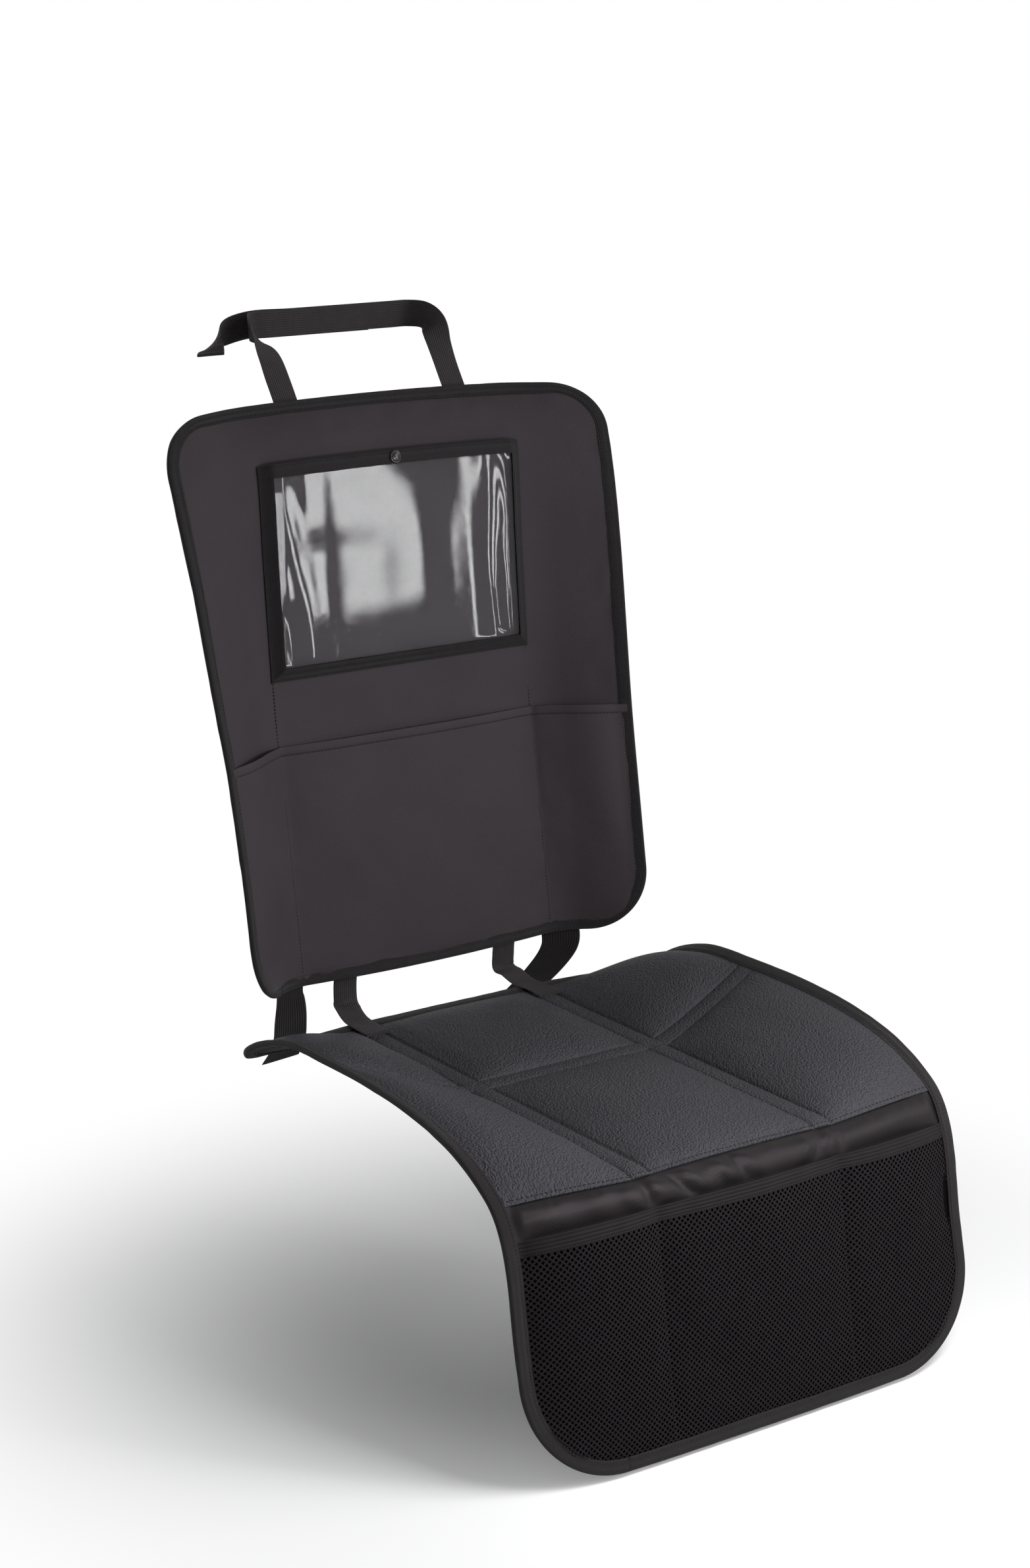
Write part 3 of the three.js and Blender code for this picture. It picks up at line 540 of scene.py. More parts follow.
# Stitching: black thread, one stitch after another along each seam, a little sunk where the thread pulls.
# The same tree of nodes sews every seam of the object.
def make_thread():
    finish = Finish("thread", 0.15)
    finish.raised(finish.noise(finish.place, 2400)["Fac"], 0.0001, 0.6)
    finish.mottled(finish.place, (0.007, 0.006, 0.0065), (0.016, 0.014, 0.015), 900)
    return finish.material


thread = make_thread()


def start_tree(name, inputs):
    """Geometry nodes with the given inputs: the tree, its source and the inputs' identifiers."""
    tree = bpy.data.node_groups.new(name, "GeometryNodeTree")
    add_socket = tree.interface.new_socket
    add_socket("Geometry", in_out="INPUT", socket_type="NodeSocketGeometry")
    found = {label: add_socket(label, in_out="INPUT", socket_type=kind).identifier for label, kind in inputs}
    add_socket("Geometry", in_out="OUTPUT", socket_type="NodeSocketGeometry")
    return tree, add_node(tree, "NodeGroupInput").outputs, found


def end_tree(tree, shape, material):
    real = add_node(tree, "GeometryNodeRealizeInstances", {0: shape}).outputs[0]
    painted = add_node(tree, "GeometryNodeSetMaterial", {"Geometry": real, "Material": material}).outputs[0]
    add_node(tree, "NodeGroupOutput", {0: painted})


def make_sewing():
    """Geometry nodes that set stitches along a seam."""
    tree, source, found = start_tree("sewing", (
        ("Stitch Pitch", "NodeSocketFloat"), ("Stitch Length", "NodeSocketFloat"),
        ("Thread Width", "NodeSocketFloat"), ("Thread", "NodeSocketMaterial")))
    seam = add_node(tree, "GeometryNodeMeshToCurve", {0: source["Geometry"]}).outputs[0]
    even = add_node(tree, "GeometryNodeResampleCurve", {"Curve": seam, "Length": source["Stitch Pitch"]},
                    mode="LENGTH").outputs[0]
    stitch = add_node(tree, "GeometryNodeMeshIcoSphere", {"Radius": 0.5, "Subdivisions": 1}).outputs[0]
    width = source["Thread Width"]
    flat = maths(tree, "MULTIPLY", width, 0.8)
    size = add_node(tree, "ShaderNodeCombineXYZ", {0: source["Stitch Length"], 1: width, 2: flat}).outputs[0]
    tangent = add_node(tree, "GeometryNodeInputTangent").outputs[0]
    facing = add_node(tree, "GeometryNodeInputNamedAttribute", {"Name": "facing"}, data_type="FLOAT_VECTOR")
    aim = add_node(tree, "FunctionNodeAlignRotationToVector", {"Vector": tangent}, axis="X").outputs[0]
    turns = {"Rotation": aim, "Vector": facing.outputs["Attribute"]}
    lift = add_node(tree, "FunctionNodeAlignRotationToVector", turns, axis="Z", pivot_axis="X").outputs[0]
    copies = add_node(tree, "GeometryNodeInstanceOnPoints", {
        "Points": even, "Instance": stitch, "Rotation": lift, "Scale": size}).outputs[0]
    end_tree(tree, copies, source["Thread"])
    return tree, found


sewing, sewing_inputs = make_sewing()


def put_through(piece, tree, found, values):
    """Sends a piece through geometry nodes, whose inputs are set by identifier."""
    nodes = piece.modifiers.new(tree.name, "NODES")
    nodes.node_group = tree
    for label, value in values.items():
        nodes[found[label]] = value


def plain_mesh(piece):
    """Turns a piece with modifiers into its finished mesh."""
    shown_piece = piece.evaluated_get(bpy.context.evaluated_depsgraph_get())
    mesh = bpy.data.meshes.new_from_object(shown_piece)
    piece.modifiers.clear()
    piece.data = mesh


def seam_on(mat, u, s, height):
    """A seam on a mat, with its thread at height(u, s): its places in metres and the way the cloth faces."""
    u, s = np.broadcast_arrays(np.asarray(u, float), np.asarray(s, float))
    return mat.lay(u, s, height(u, s)), mat.facing(u, s)


def on_face(heights, extra):
    """Where the thread of a seam lies: a little above the upper face of a sheet."""
    return lambda u, s: heights(u, s)[1] + extra


def sew(name, seams, slot, pitch, stitch, width):
    """Stitches along seams. Pitch, length and width are those of one stitch."""
    edges, first = [], 0
    for places, _ in seams:
        edges += [(i, i + 1) for i in range(first, first + len(places) - 1)]
        first += len(places)
    mesh = bpy.data.meshes.new(name)
    mesh.from_pydata(np.concatenate([places for places, _ in seams]), edges, [])
    layer = mesh.attributes.new("facing", "FLOAT_VECTOR", "POINT")
    layer.data.foreach_set("vector", np.concatenate([ways for _, ways in seams]).ravel())
    piece = new_object(name, mesh)
    put_through(piece, sewing, sewing_inputs, {
        "Stitch Pitch": pitch * metre, "Stitch Length": stitch * metre, "Thread Width": width * metre,
        "Thread": thread})
    plain_mesh(piece)
    return ride_as(piece, slot)


# Binding of the back mat: black herringbone twill tape, folded over the raw edge and sewn through with one
# row of stitches near its inner edge.
binding_width, binding_seam = 11, 8.6


def make_twill():
    """Herringbone twill: slanting ribs that change direction in columns along the tape."""
    finish = Finish("twill_tape", 0.1)
    zigzag = finish.maths("PINGPONG", finish.across, 0.0028)
    ribs = finish.wave(finish.maths("ADD", finish.along, zigzag), 0.0012)
    finish.raised(ribs, 0.00035, 0.9)
    finish.rough(ribs, 0.08, 0.68)
    finish.mottled(finish.cloth, (0.0062, 0.0055, 0.0058), (0.025, 0.0217, 0.0235), 60, ribs, 0.65)
    finish.set("Sheen Weight", 0.04)
    return finish.material


twill = make_twill()


def folded_tape(name, mat, low, high, seed):
    """A tape folded round a mat's edge, from its underside to its face, as a closed loop."""
    u, s, out_u, out_s = mat.rim(3.5).T
    middle, reach = (low + high) / 2, (high - low) / 2
    outer = [(binding_width, high + 0.75), (8, high + 1.2), (4, high + 1.35), (1, high + 1.3)]
    turn = np.radians((25, 60, 90, 120, 155))
    outer += [(-1.5 * math.sin(a), middle + (reach + 1.3) * math.cos(a)) for a in turn]
    outer += [(1, low - 1.3), (4, low - 1.35), (8, low - 1.2), (binding_width, low - 0.75)]
    inner = [(binding_width, low - 0.15), (4, low - 0.5), (0.4, low - 0.45), (-0.5, middle)]
    inner += [(0.4, high + 0.45), (4, high + 0.5), (binding_width, high + 0.15)]
    section = np.array(outer + inner)
    across = lengths_along(section)
    walked = lengths_along(np.stack([u, s], -1))
    swell = 0.25 * ripple(walked, walked * 0, 11, 1, seed)
    edge_wave = 0.5 * ripple(walked, walked * 0, 17, 1, seed + 1)
    inward = section[:, 0][None] + edge_wave[:, None] * (section[:, 0] > 6)[None]
    height = section[:, 1][None] + swell[:, None] * np.sign(section[:, 1] - middle)[None]
    rings = mat.lay(u[:, None] - inward * out_u[:, None], s[:, None] - inward * out_s[:, None], height)
    number = np.arange(inward.size).reshape(inward.shape)
    ahead, beside = np.roll(number, -1, 0), np.roll(number, -1, 1)
    faces = quads(number, beside, np.roll(ahead, -1, 1), ahead)
    uv = np.stack(np.broadcast_arrays(across[None], walked[:, None]), -1).reshape(-1, 2) * metre
    return finished(name, rings.reshape(-1, 3), faces.tolist(), uv, twill, "twill_tape", 60)


def sew_binding(name, mat, face, underside):
    """One row of stitches through the tape, seen on its face and on its underside."""
    rim = mat.rim(3)
    u, s, out_u, out_s = np.vstack([rim, rim[:1]]).T
    seams = [seam_on(mat, u - binding_seam * out_u, s - binding_seam * out_s, lambda u, s: height)
             for height in (face, underside)]
    sew(name, seams, "twill_tape", 3.2, 2.6, 0.95)


back_binding = folded_tape("back_binding_tape", back, -panel_half, panel_half, 11)
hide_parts("back_binding")
sew_binding("back_binding_stitches", back, panel_half + 1.25, -panel_half - 1.25)

# Cloth pockets of the back mat: one panel of the same polyester, hemmed along its top and sewn down by two
# upright seams, so that it makes three pockets. Each mouth stands a little open.
pocket_seam, pocket_inset, hem_width = 139, 13.8, 8
middle_gape, side_gape = 7, 8


def crown(value, low, high, shoulder):
    """A hill from 0 to 1 and back, the flatter the greater its shoulder."""
    x = np.clip((value - low) / (high - low), 0, 1)
    return 1 - np.abs(2 * x - 1) ** shoulder


def three_pockets(mat, u, seam, inset):
    """How far across its own pocket a place is, from 0 to 1, where two seams make three pockets."""
    size = np.abs(u)
    beside = (size - seam) / (mat.half - inset - seam)
    return np.where(size <= seam, (u / seam + 1) / 2, beside)


def pocket_lift(u, s):
    rise = np.sin(np.clip((s - pocket_inset) / (pocket_hem - pocket_inset), 0, 1) * math.pi / 2) ** 0.8
    gape = np.where(np.abs(u) <= pocket_seam, middle_gape, side_gape)
    return gape * rise * crown(three_pockets(back, u, pocket_seam, pocket_inset), 0, 1, 3)


def pocket_heights(u, s):
    size = np.abs(u)
    edge = smooth_step(np.minimum(back.half_at(s, 0) - size, s), 4, 14)
    from_seam = np.abs(size - pocket_seam)
    folds = 0.9 * ripple(u, s, 60, 110, 21) + 0.5 * ripple(u + s * 0.4, s, 22, 70, 22)
    folds = folds * edge * smooth_step(from_seam, 2, 26) * (0.35 + 0.65 * smooth_step(s, 20, 120))
    at_seam = smooth_step(from_seam, 0, 3) * (1 - smooth_step(from_seam, 4, 16))
    pucker = 0.45 * ripple(u, s, 40, 9, 23) * at_seam
    hem_groove = np.exp(-(((s - pocket_hem + 8.6) / 0.9) ** 2))
    hem = 0.55 * smooth_step(s, pocket_hem - 9.5, pocket_hem - 9) - 0.7 * hem_groove
    hem = hem + 0.5 * crown(s, pocket_hem - hem_width, pocket_hem, 2)
    droop = 0.8 * ripple(u, s, 34, 34, 24) * edge * (1 - smooth_step(s, 12, 60))
    low = 1.15 + 0.9 * edge + pocket_lift(u, s) + folds + pucker + droop
    return low - hem * 0.5, low + 0.65 + hem


pocket_half = back_half - 3
pocket_columns = through(-pocket_half, 3, -174, 2.5, -120, 5, 120, 2.5, 174, 3, pocket_half)
pocket_rows = through(3, 2.5, back.low_radius, 5, pocket_hem - 14, 0.6, pocket_hem)
pocket_panel = mat_sheet("pocket_panel_cloth", back, pocket_columns, pocket_rows, pocket_heights,
                         polyester, "polyester")
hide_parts("pocket_panel")
hem_line = np.linspace(-224, 224, 230)
pocket_seams = [seam_on(back, hem_line, pocket_hem - hem_width, on_face(pocket_heights, 0.1))]
for u in (-pocket_seam, pocket_seam):
    on_pocket, above = np.linspace(13, pocket_hem, 90), np.linspace(pocket_hem + 2, window_low - 1.5, 24)
    pocket_seams.append(seam_on(back, u, on_pocket, on_face(pocket_heights, 0.05)))
    pocket_seams.append(seam_on(back, u, above, lambda u, s: panel_half + 0.15))
sew("pocket_stitches", pocket_seams, "polyester", 3.2, 2.6, 1.05)


# Window pocket: soft clear film that stands off the panel, framed by four tapes of the same twill, mitred at
# the lower corners. Its sides slope down to the seams, and its top stays open.
film_margin = 1.5


def from_frame(u, s):
    return np.minimum(window_half - np.abs(u), s - window_low)


def film_lift(u, s):
    return 1.3 + 7.2 * np.clip((from_frame(u, s) - film_margin) / (tape_width - film_margin), 0, 1)


def make_film():
    """Clear soft plastic: glossy, with fine scuffs that blur it a little here and there."""
    finish = Finish("clear_film", 0.6, 0.06)
    for socket, value in (("Base Color", (0.96, 0.975, 0.985, 1)), ("Transmission Weight", 1), ("IOR", 1.22)):
        finish.set(socket, value)
    scuffs = finish.noise(finish.cloth, 60, 8)["Fac"]
    finish.rough(scuffs, 0.05, 0.005)
    finish.raised(scuffs, 0.0003, 0.15)
    return finish.material


def film_heights(u, s):
    waves = ripple(u, s, 22, 150, 31) * smooth_step(np.abs(u), 50, 125) + 0.4 * ripple(u, s, 60, 110, 32)
    waves = waves + 0.4 * ripple(u + 0.25 * s, s, 17, 90, 33) * smooth_step(np.abs(u), 85, 130)
    low = film_lift(u, s) + waves * smooth_step(from_frame(u, s), 12, 20)
    return low, low + 0.4


film_half, film_low = window_half - film_margin, window_low + film_margin
film_columns = through(-film_half, 1.75, -105, 3, 105, 1.75, film_half)
film_rows = through(film_low, 2, film_low + 27, 4, window_high - film_margin)
film = mat_sheet("window_film_sheet", back, film_columns, film_rows, film_heights, make_film(),
                 "clear_film", 80)
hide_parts("window_film")


def window_tape(name, outer, inner, node, seed):
    """A tape between its outer and its inner edge, each of which is given by its two ends."""
    length = math.dist(*outer)
    share, width = np.meshgrid(np.linspace(0, 1, int(length / 3)), (0, 0.04, 0.3, 0.5, 0.7, 0.96, 1))
    ends = np.array([outer, inner], float)
    edge_out, edge_in = (start + (end - start) * share[..., None] for start, end in ends)
    u, s = np.moveaxis(edge_out + (edge_in - edge_out) * width[..., None], -1, 0)
    along = share * length
    low = film_lift(u, s) + 0.5
    puff = 0.35 * crown(width, 0, 1, 4) + 0.22 * ripple(along, width * 8, 14, 6, seed)
    uv = np.stack([width * tape_width, along], -1) * metre
    piece = layered(name, back.lay(u, s, low), back.lay(u, s, low + 0.55 + puff), uv, twill, "twill_tape", 60)
    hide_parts(node)


inner_half = window_half - tape_width
low_inner, high_inner = window_low + tape_width, window_high - tape_width
window_tape("window_tape_low", ((-window_half, window_low), (window_half, window_low)),
            ((-inner_half, low_inner), (inner_half, low_inner)), "window_tape_bottom", 41)
window_tape("window_tape_high", ((-window_half, window_high), (window_half, window_high)),
            ((-window_half, high_inner), (window_half, high_inner)), "window_tape_top", 42)
for side, name, seed in ((-1, "window_tape_left", 43), (1, "window_tape_right", 44)):
    window_tape(f"{name}_side", ((side * window_half, window_low), (side * window_half, high_inner)),
                ((side * inner_half, low_inner), (side * inner_half, high_inner)), name, seed)
frame_seams = []
for edge in (2.2, tape_width - 2.2):
    out, low, high = window_half - edge, window_low + edge, window_high - edge
    across, upwards = np.linspace(-out, out, 120), np.linspace(low, high, 90)
    for u, s in ((across, low), (across, high), (-out, upwards), (out, upwards)):
        frame_seams.append(seam_on(back, u, s, lambda u, s: film_lift(u, s) + 1.38))
sew("window_stitches", frame_seams, "twill_tape", 3.0, 2.4, 0.9)


# Press stud of the window pocket: a black lacquered metal cap, domed with a rolled edge, riveted through the
# middle of the top tape. Its socket and stud stay as the solids have them, with the same lacquer.
def make_lacquer():
    finish = Finish("snap_lacquer", 0.25)
    finish.rough(finish.noise(finish.place, 420)["Fac"], 0.18, 0.16)
    finish.mottled(finish.place, (0.006, 0.006, 0.007), (0.013, 0.013, 0.014), 300)
    return finish.material


lacquer = make_lacquer()


def turned(name, profile, u, s, seat_height, material, slot, sides=48):
    """A round piece turned about the line out of the back mat. The profile gives radius and height."""
    foot, out = back.lay(u, s, seat_height), back.facing(u, s)
    right = unit(np.cross([0, 0, 1], out))
    up = np.cross(out, right)
    angles = np.linspace(0, 2 * math.pi, sides, endpoint=False)
    circle = np.stack([np.cos(angles), np.sin(angles)], -1)
    around = circle @ np.array([right, up])
    verts = [foot + (out * height + around * radius) * metre for radius, height in profile]
    uv = [circle * radius * metre for radius, _ in profile]
    number = np.arange(len(profile) * sides).reshape(len(profile), sides)
    beside = np.roll(number, -1, 1)
    faces = quads(number[:-1], beside[:-1], beside[1:], number[1:]).tolist()
    faces += [number[0][::-1].tolist(), number[-1].tolist()]
    return finished(name, np.concatenate(verts), faces, np.concatenate(uv), material, slot, 45)


cap_profile = [(5.2, -0.2), (5.9, 0.1), (6, 0.5), (5.8, 0.95), (5.3, 1.15), (4.9, 1.1), (4.6, 1.2)]
cap_profile += [(4.6 * math.cos(a), 1.2 + 1.1 * math.sin(a)) for a in np.radians((20, 40, 60, 75, 86))]
snap_cap = turned("snap_cap_dome", cap_profile, 0, window_high - tape_width / 2, 10.4, lacquer, "snap_black")
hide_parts("snap_cap")


def paint_solids(names, material):
    for name in names:
        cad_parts[name].material_slots[0].material = material


paint_solids(("snap_socket", "snap_stud"), lacquer)


# Straps: black polypropylene webbing, 25 mm wide and ribbed along its length. The two head straps are sewn
# behind the mat's top edge, turn back and then inwards, and are joined there with hook-and-loop tape.
def make_webbing():
    """Webbing: lengthwise ribs crossed by short weft threads."""
    finish = Finish("webbing", 0.16)
    ribs = finish.wave(finish.across, 0.0021)
    shifted = finish.maths("ADD", finish.along, finish.maths("MULTIPLY", ribs, 0.0004))
    height = finish.maths("MULTIPLY_ADD", finish.wave(shifted, 0.0016), 0.45, ribs)
    finish.raised(height, 0.00035, 0.9)
    finish.rough(height, 0.06, 0.66)
    finish.mottled(finish.cloth, (0.0105, 0.0091, 0.0099), (0.037, 0.032, 0.035), 90,
                   finish.wave(finish.along, 0.0016), 0.5)
    return finish.material


webbing = make_webbing()


def strap_rings(stations, shares, width, layer=0.0):
    """Middle, half-width direction and facing of a strap at the given shares of its stations."""
    places, ways = (smooth_line(list(column)) for column in zip(*stations))
    middle = read_line(places, shares)
    before, after = (read_line(places, np.clip(shares + step, 0, 1)) for step in (-1e-3, 1e-3))
    tangent = unit(after - before)
    normal = unit(np.cross(tangent, read_line(ways, shares)))
    return middle + normal * layer, np.cross(normal, tangent) * width / 2, normal


def strap(name, stations, steps, width, material, slot, hem=0):
    """A strap with rounded selvedges. A hem folds its end under, three layers thick."""
    middle, half, normal = strap_rings(stations, np.linspace(0, 1, steps + 1), width)
    walked = lengths_along(middle)
    from_end = walked[-1] - walked
    folded = 0 * walked
    if hem:
        folded = fold_rise * (1 - smooth_step(from_end, hem, hem + 0.6))
        folded = folded - 0.3 * web_thickness * np.sin(from_end * math.pi / 4.5) * (from_end < hem)
    columns = np.array([-1, -0.97, -0.85, -0.45, 0, 0.45, 0.85, 0.97, 1])
    round_edge = np.array([0.35, 0.75, 1, 1, 1, 1, 1, 0.75, 0.35]) * web_thickness / 2
    curl = 0.3 * ripple(walked, walked * 0, 30, 1, int(walked[-1]))
    uv = np.stack(np.broadcast_arrays(columns[None] * width / 2, walked[:, None]), -1) * metre
    middle, half, out = (part[:, None] for part in (middle, half, normal))
    base = middle + half * columns[:, None] + out * (curl[:, None] * columns ** 2)[..., None]
    low, high = base - out * round_edge[:, None], base + out * (round_edge + folded[:, None])[..., None]
    return layered(name, low * metre, high * metre, uv, material, slot, 60)


def at(x, y, z):
    return np.array((x, y - seat_centre, z), float)


web_width, web_thickness, patch_thickness, clearance, fold_clearance = 25, 1.2, 0.9, 0.3, 0.9
fold_rise = 1.6 * web_thickness
fold_length = 9
behind = -(panel_half + fold_clearance + 0.8 + 2 * clearance + web_thickness / 2)
across_x, across_z = np.array((1.0, 0, 0)), np.array((0, 0, 1.0))
layer_step = (web_thickness + patch_thickness) / 2 + clearance
head_place, wrap_rise, wrap_depth, post_place, post_room, join_end = 91, 61, 71, 73, 23, 40
tail_length, tail_drop = 98, 22
right_run = wrap_depth + 2 * layer_step + patch_thickness + clearance
top_y, top_z = back_line.at(np.array(1.0))
low_y, low_z = back_line.at(np.array(0.0))


def sewn_end(side, offset, top, tuck):
    """The first two stations of a strap that is sewn behind the back mat's top or lower edge."""
    inward, s = (-1, back.length) if top else (1, 0)
    ends = []
    for depth in (tuck, tuck / 3):
        place = lambda u: back.lay(u, s + inward * depth, behind) / metre
        ends.append((place(side * offset), unit(place(side * offset + 1) - place(side * offset - 1))))
    return ends


def past_top(x, depth, rise):
    """A place above and behind the top edge of the back mat."""
    return at(x, top_y + depth, top_z + rise)


def head_stations(side, run):
    way = lambda x, z: np.array((x, 0, side * z), float)
    wrap = lambda reach, depth, rise: past_top(
        side * (post_place + post_room * reach), wrap_depth * depth, wrap_rise * rise)
    level = lambda x, depth: past_top(side * x, depth, wrap_rise)
    return sewn_end(side, head_place, True, 22) + [
        (past_top(side * head_place, wrap_depth * 0.23, wrap_rise * 0.28), across_x),
        (wrap(0.83, 0.44, 0.64), way(0.97, 0.25)),
        (wrap(1, 0.65, 0.885), way(0.6, 0.8)),
        (wrap(0.96, 0.845, 0.985), way(0.1, 1)),
        (level(post_place + post_room * 0.57, run - web_thickness), way(0, 1)),
        (level(post_place * 0.92, run), way(0, 1)),
        (level(post_place * 0.41, run), way(0, 1)),
    ]


def tail(reach, back_by, drop):
    beyond = -join_end - tail_length * reach
    return past_top(beyond, right_run + tail_drop * back_by, wrap_rise - tail_drop * drop)


left_stations = head_stations(-1, wrap_depth) + [(past_top(join_end, wrap_depth, wrap_rise), -across_z)]
right_stations = head_stations(1, right_run) + [
    (tail(0, 0, 0), across_z),
    (tail(0.47, 0.045, 0), across_z),
    (tail(0.73, -0.045, 0.23), np.array((0.2, -0.1, 0.97))),
    (tail(0.9, -0.36, 0.59), np.array((0.55, -0.35, 0.75))),
    (tail(1, -0.91, 1), np.array((0.82, -0.5, 0.2))),
]
for name, stations, steps, hem in (
    ("left", left_stations, 110, 0),
    ("right", right_stations, 150, fold_length),
):
    piece = strap(f"head_strap_{name}_web", stations, steps, web_width, webbing, "webbing", hem)
    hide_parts(f"head_strap_{name}")


def make_hooks():
    """Hook-and-loop tape: a dense mat black pile of short loops."""
    finish = Finish("hook_and_loop", 0.1, 0.95)
    finish.raised(finish.cells(finish.place, 900), 0.0006, 0.8)
    finish.mottled(finish.place, (0.008, 0.008, 0.008), (0.02, 0.02, 0.02), 700)
    finish.set("Sheen Weight", 0.1)
    return finish.material


paint_solids(("loop_tape", "hook_tape"), make_hooks())

# Lower straps: the same webbing, sewn behind the mat's lower edge. They hang down, turn forward and lie on
# the rear edge of the seat mat, with their cut ends folded under and sewn.
cover_low, cover_high = 1.3, 2.9
lower_place = 89
resting = cover_high + fold_clearance + 0.8 + 2 * clearance + web_thickness / 2
lower_seams = []
for side, name in ((-1, "left"), (1, "right")):
    hanging = lambda depth, drop: at(side * lower_place, low_y + depth, low_z - drop)
    lying = lambda x, s, lift: seat.lay(side * x, seat.length + s, resting + lift) / metre
    stations = sewn_end(side, lower_place, False, 24) + [
        (hanging(7, 11), across_x),
        (hanging(6, 25), across_x),
        (lying(92, 21, 5), across_x),
        (lying(94, 6, 0.3), across_x),
        (lying(channel_place, -14.4, 0.6), across_x),
        (lying(channel_place, -36, 0.9), across_x),
    ]
    stations = [(place, -way) for place, way in stations]
    piece = strap(f"lower_strap_{name}_web", stations, 60, web_width, webbing, "webbing", fold_length)
    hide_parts(f"lower_strap_{name}")
    middle, half, normal = strap_rings(stations, np.array([0.925]), web_width, web_thickness / 2 + fold_rise)
    run = np.linspace(-0.9, 0.9, 12)[:, None]
    lower_seams.append(((middle + half * run) * metre, np.repeat(normal, len(run), 0)))
sew("lower_strap_stitches", lower_seams, "webbing", 2.6, 2.0, 1.0)


# Elastic bands: wide black ribbed elastic, sewn behind the mat's lower corners. They run down and inwards, to
# where their ends would be fixed.
def make_elastic():
    """Knitted elastic: cords along its length, with small cross ribs between them."""
    finish = Finish("elastic", 0.05)
    cords = finish.wave(finish.across, 0.0027)
    height = finish.maths("MULTIPLY_ADD", finish.wave(finish.along, 0.0013), 0.12, cords)
    finish.raised(height, 0.0003, 0.9)
    finish.rough(height, 0.06, 0.64)
    finish.mottled(finish.cloth, (0.0065, 0.0057, 0.0062), (0.017, 0.0148, 0.016), 70, cords, 0.5)
    return finish.material


elastic = make_elastic()
band_place, elastic_width = 150, 38
for side, name in ((-1, "left"), (1, "right")):
    tilted = lambda across, drop: np.array((across, 0, -drop * side), float)
    route = lambda turn, depth, drop: at(
        side * (band_place - 24 * turn), low_y + 64 * depth, low_z - 91 * drop)
    first, second = sewn_end(side, band_place, False, 30)
    stations = [
        first,
        second,
        (back.lay(side * band_place, -15, behind - 3) / metre, second[1]),
        (route(0.375, 0.31, 0.5), tilted(0.93, 0.35)),
        (route(0.75, 0.62, 0.74), tilted(0.98, 0.15)),
        (route(1, 1, 1), across_x),
    ]
    piece = strap(f"elastic_strap_{name}_band", stations, 60, elastic_width, elastic, "elastic")
    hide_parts(f"elastic_strap_{name}")


# Seat cover: charcoal grained leatherette over foam, quilted into six pads. Two pairs of seams run from the
# front to the rear and one pair runs across, and the leatherette is pulled down hard along them.
def make_leatherette():
    """Leatherette: a pebbled grain with fine creases and a soft, slightly uneven gloss."""
    finish = Finish("leatherette", 0.05)
    bend = finish.noise(finish.cloth, 210, 4)
    bends = {0: bend["Color"], 1: (0.0022, 0.0022, 0.0022), 2: finish.cloth}
    moved = finish.add("ShaderNodeVectorMath", bends, operation="MULTIPLY_ADD").outputs[0]
    pebbles = finish.add("ShaderNodeTexVoronoi", {"Scale": 560, "Smoothness": 0.35, "Vector": moved},
                         feature="SMOOTH_F1").outputs["Distance"]
    grain = finish.maths("MULTIPLY_ADD", bend["Fac"], 0.5, finish.maths("MULTIPLY", pebbles, -1))
    finish.raised(grain, 0.0016, 1)
    finish.rough(pebbles, 0.25, 0.42)
    finish.mottled(finish.cloth, (0.034, 0.0333, 0.038), (0.05, 0.049, 0.0555), 9)
    return finish.material


pad_rise, ridge_half, seam_end, rear_end = 11, 9, 223, 11
inner_edge = channel_place - channel_half
front_edge, rear_edge = cross_channel - channel_half, cross_channel + channel_half
pad_columns = [(-seam_end, -channel_edge), (-inner_edge, inner_edge), (channel_edge, seam_end)]
pad_rows = [(front_seam + 2, front_edge), (rear_edge, seat.length - rear_end)]


def pad_lift(u, s):
    """Six crowned pads, each full in its middle and steep next to its seams."""
    hills = [crown(u, *columns, 2.8) * crown(s, *rows, 3.6) for columns in pad_columns for rows in pad_rows]
    return sum(pad_rise * np.clip(hill, 0, 1) ** 0.8 for hill in hills)


def channel_ridge(u, s):
    """The channel between two seams puffs up a little, and each seam cuts in."""
    size = np.abs(np.abs(u) - channel_place)
    off = np.abs(s - cross_channel)
    ridge = np.maximum(1 - (size / ridge_half) ** 2, 1 - (off / ridge_half) ** 2)
    groove = np.minimum(np.where(off < ridge_half, ridge_half, np.abs(size - channel_half)),
                        np.where(size < ridge_half, ridge_half, np.abs(off - channel_half)))
    return 1.1 * np.clip(ridge, 0, 1) - 1.1 * np.clip(1 - groove / 1.8, 0, 1)


def cover_heights(u, s):
    lift = pad_lift(u, s)
    full = np.clip(lift / 10, 0, 1)
    to_seam = np.minimum(np.abs(np.abs(u) - channel_place), np.abs(s - cross_channel))
    drag = 0.55 * ripple(u, s, 15, 40, 51) * smooth_step(to_seam, 10, 16) * (1 - smooth_step(to_seam, 22, 55))
    soft = 0.8 * ripple(u, s, 70, 85, 52) * full + 0.25 * ripple(u, s, 24, 24, 53) * full
    pull = 0.8 * ripple(u, s * 0, 17, 1, 54) * (1 - smooth_step(s, front_seam + 4, front_seam + 30))
    puffy = smooth_step(np.minimum(seat.half_at(s, 0) - np.abs(u), seat.length - s), 10, 15)
    loose = lift + drag + soft + pull * smooth_step(s, front_seam, front_seam + 5)
    high = cover_high + loose * puffy + channel_ridge(u, s) * puffy
    return cover_low + 0 * high, np.maximum(high, 1.9)


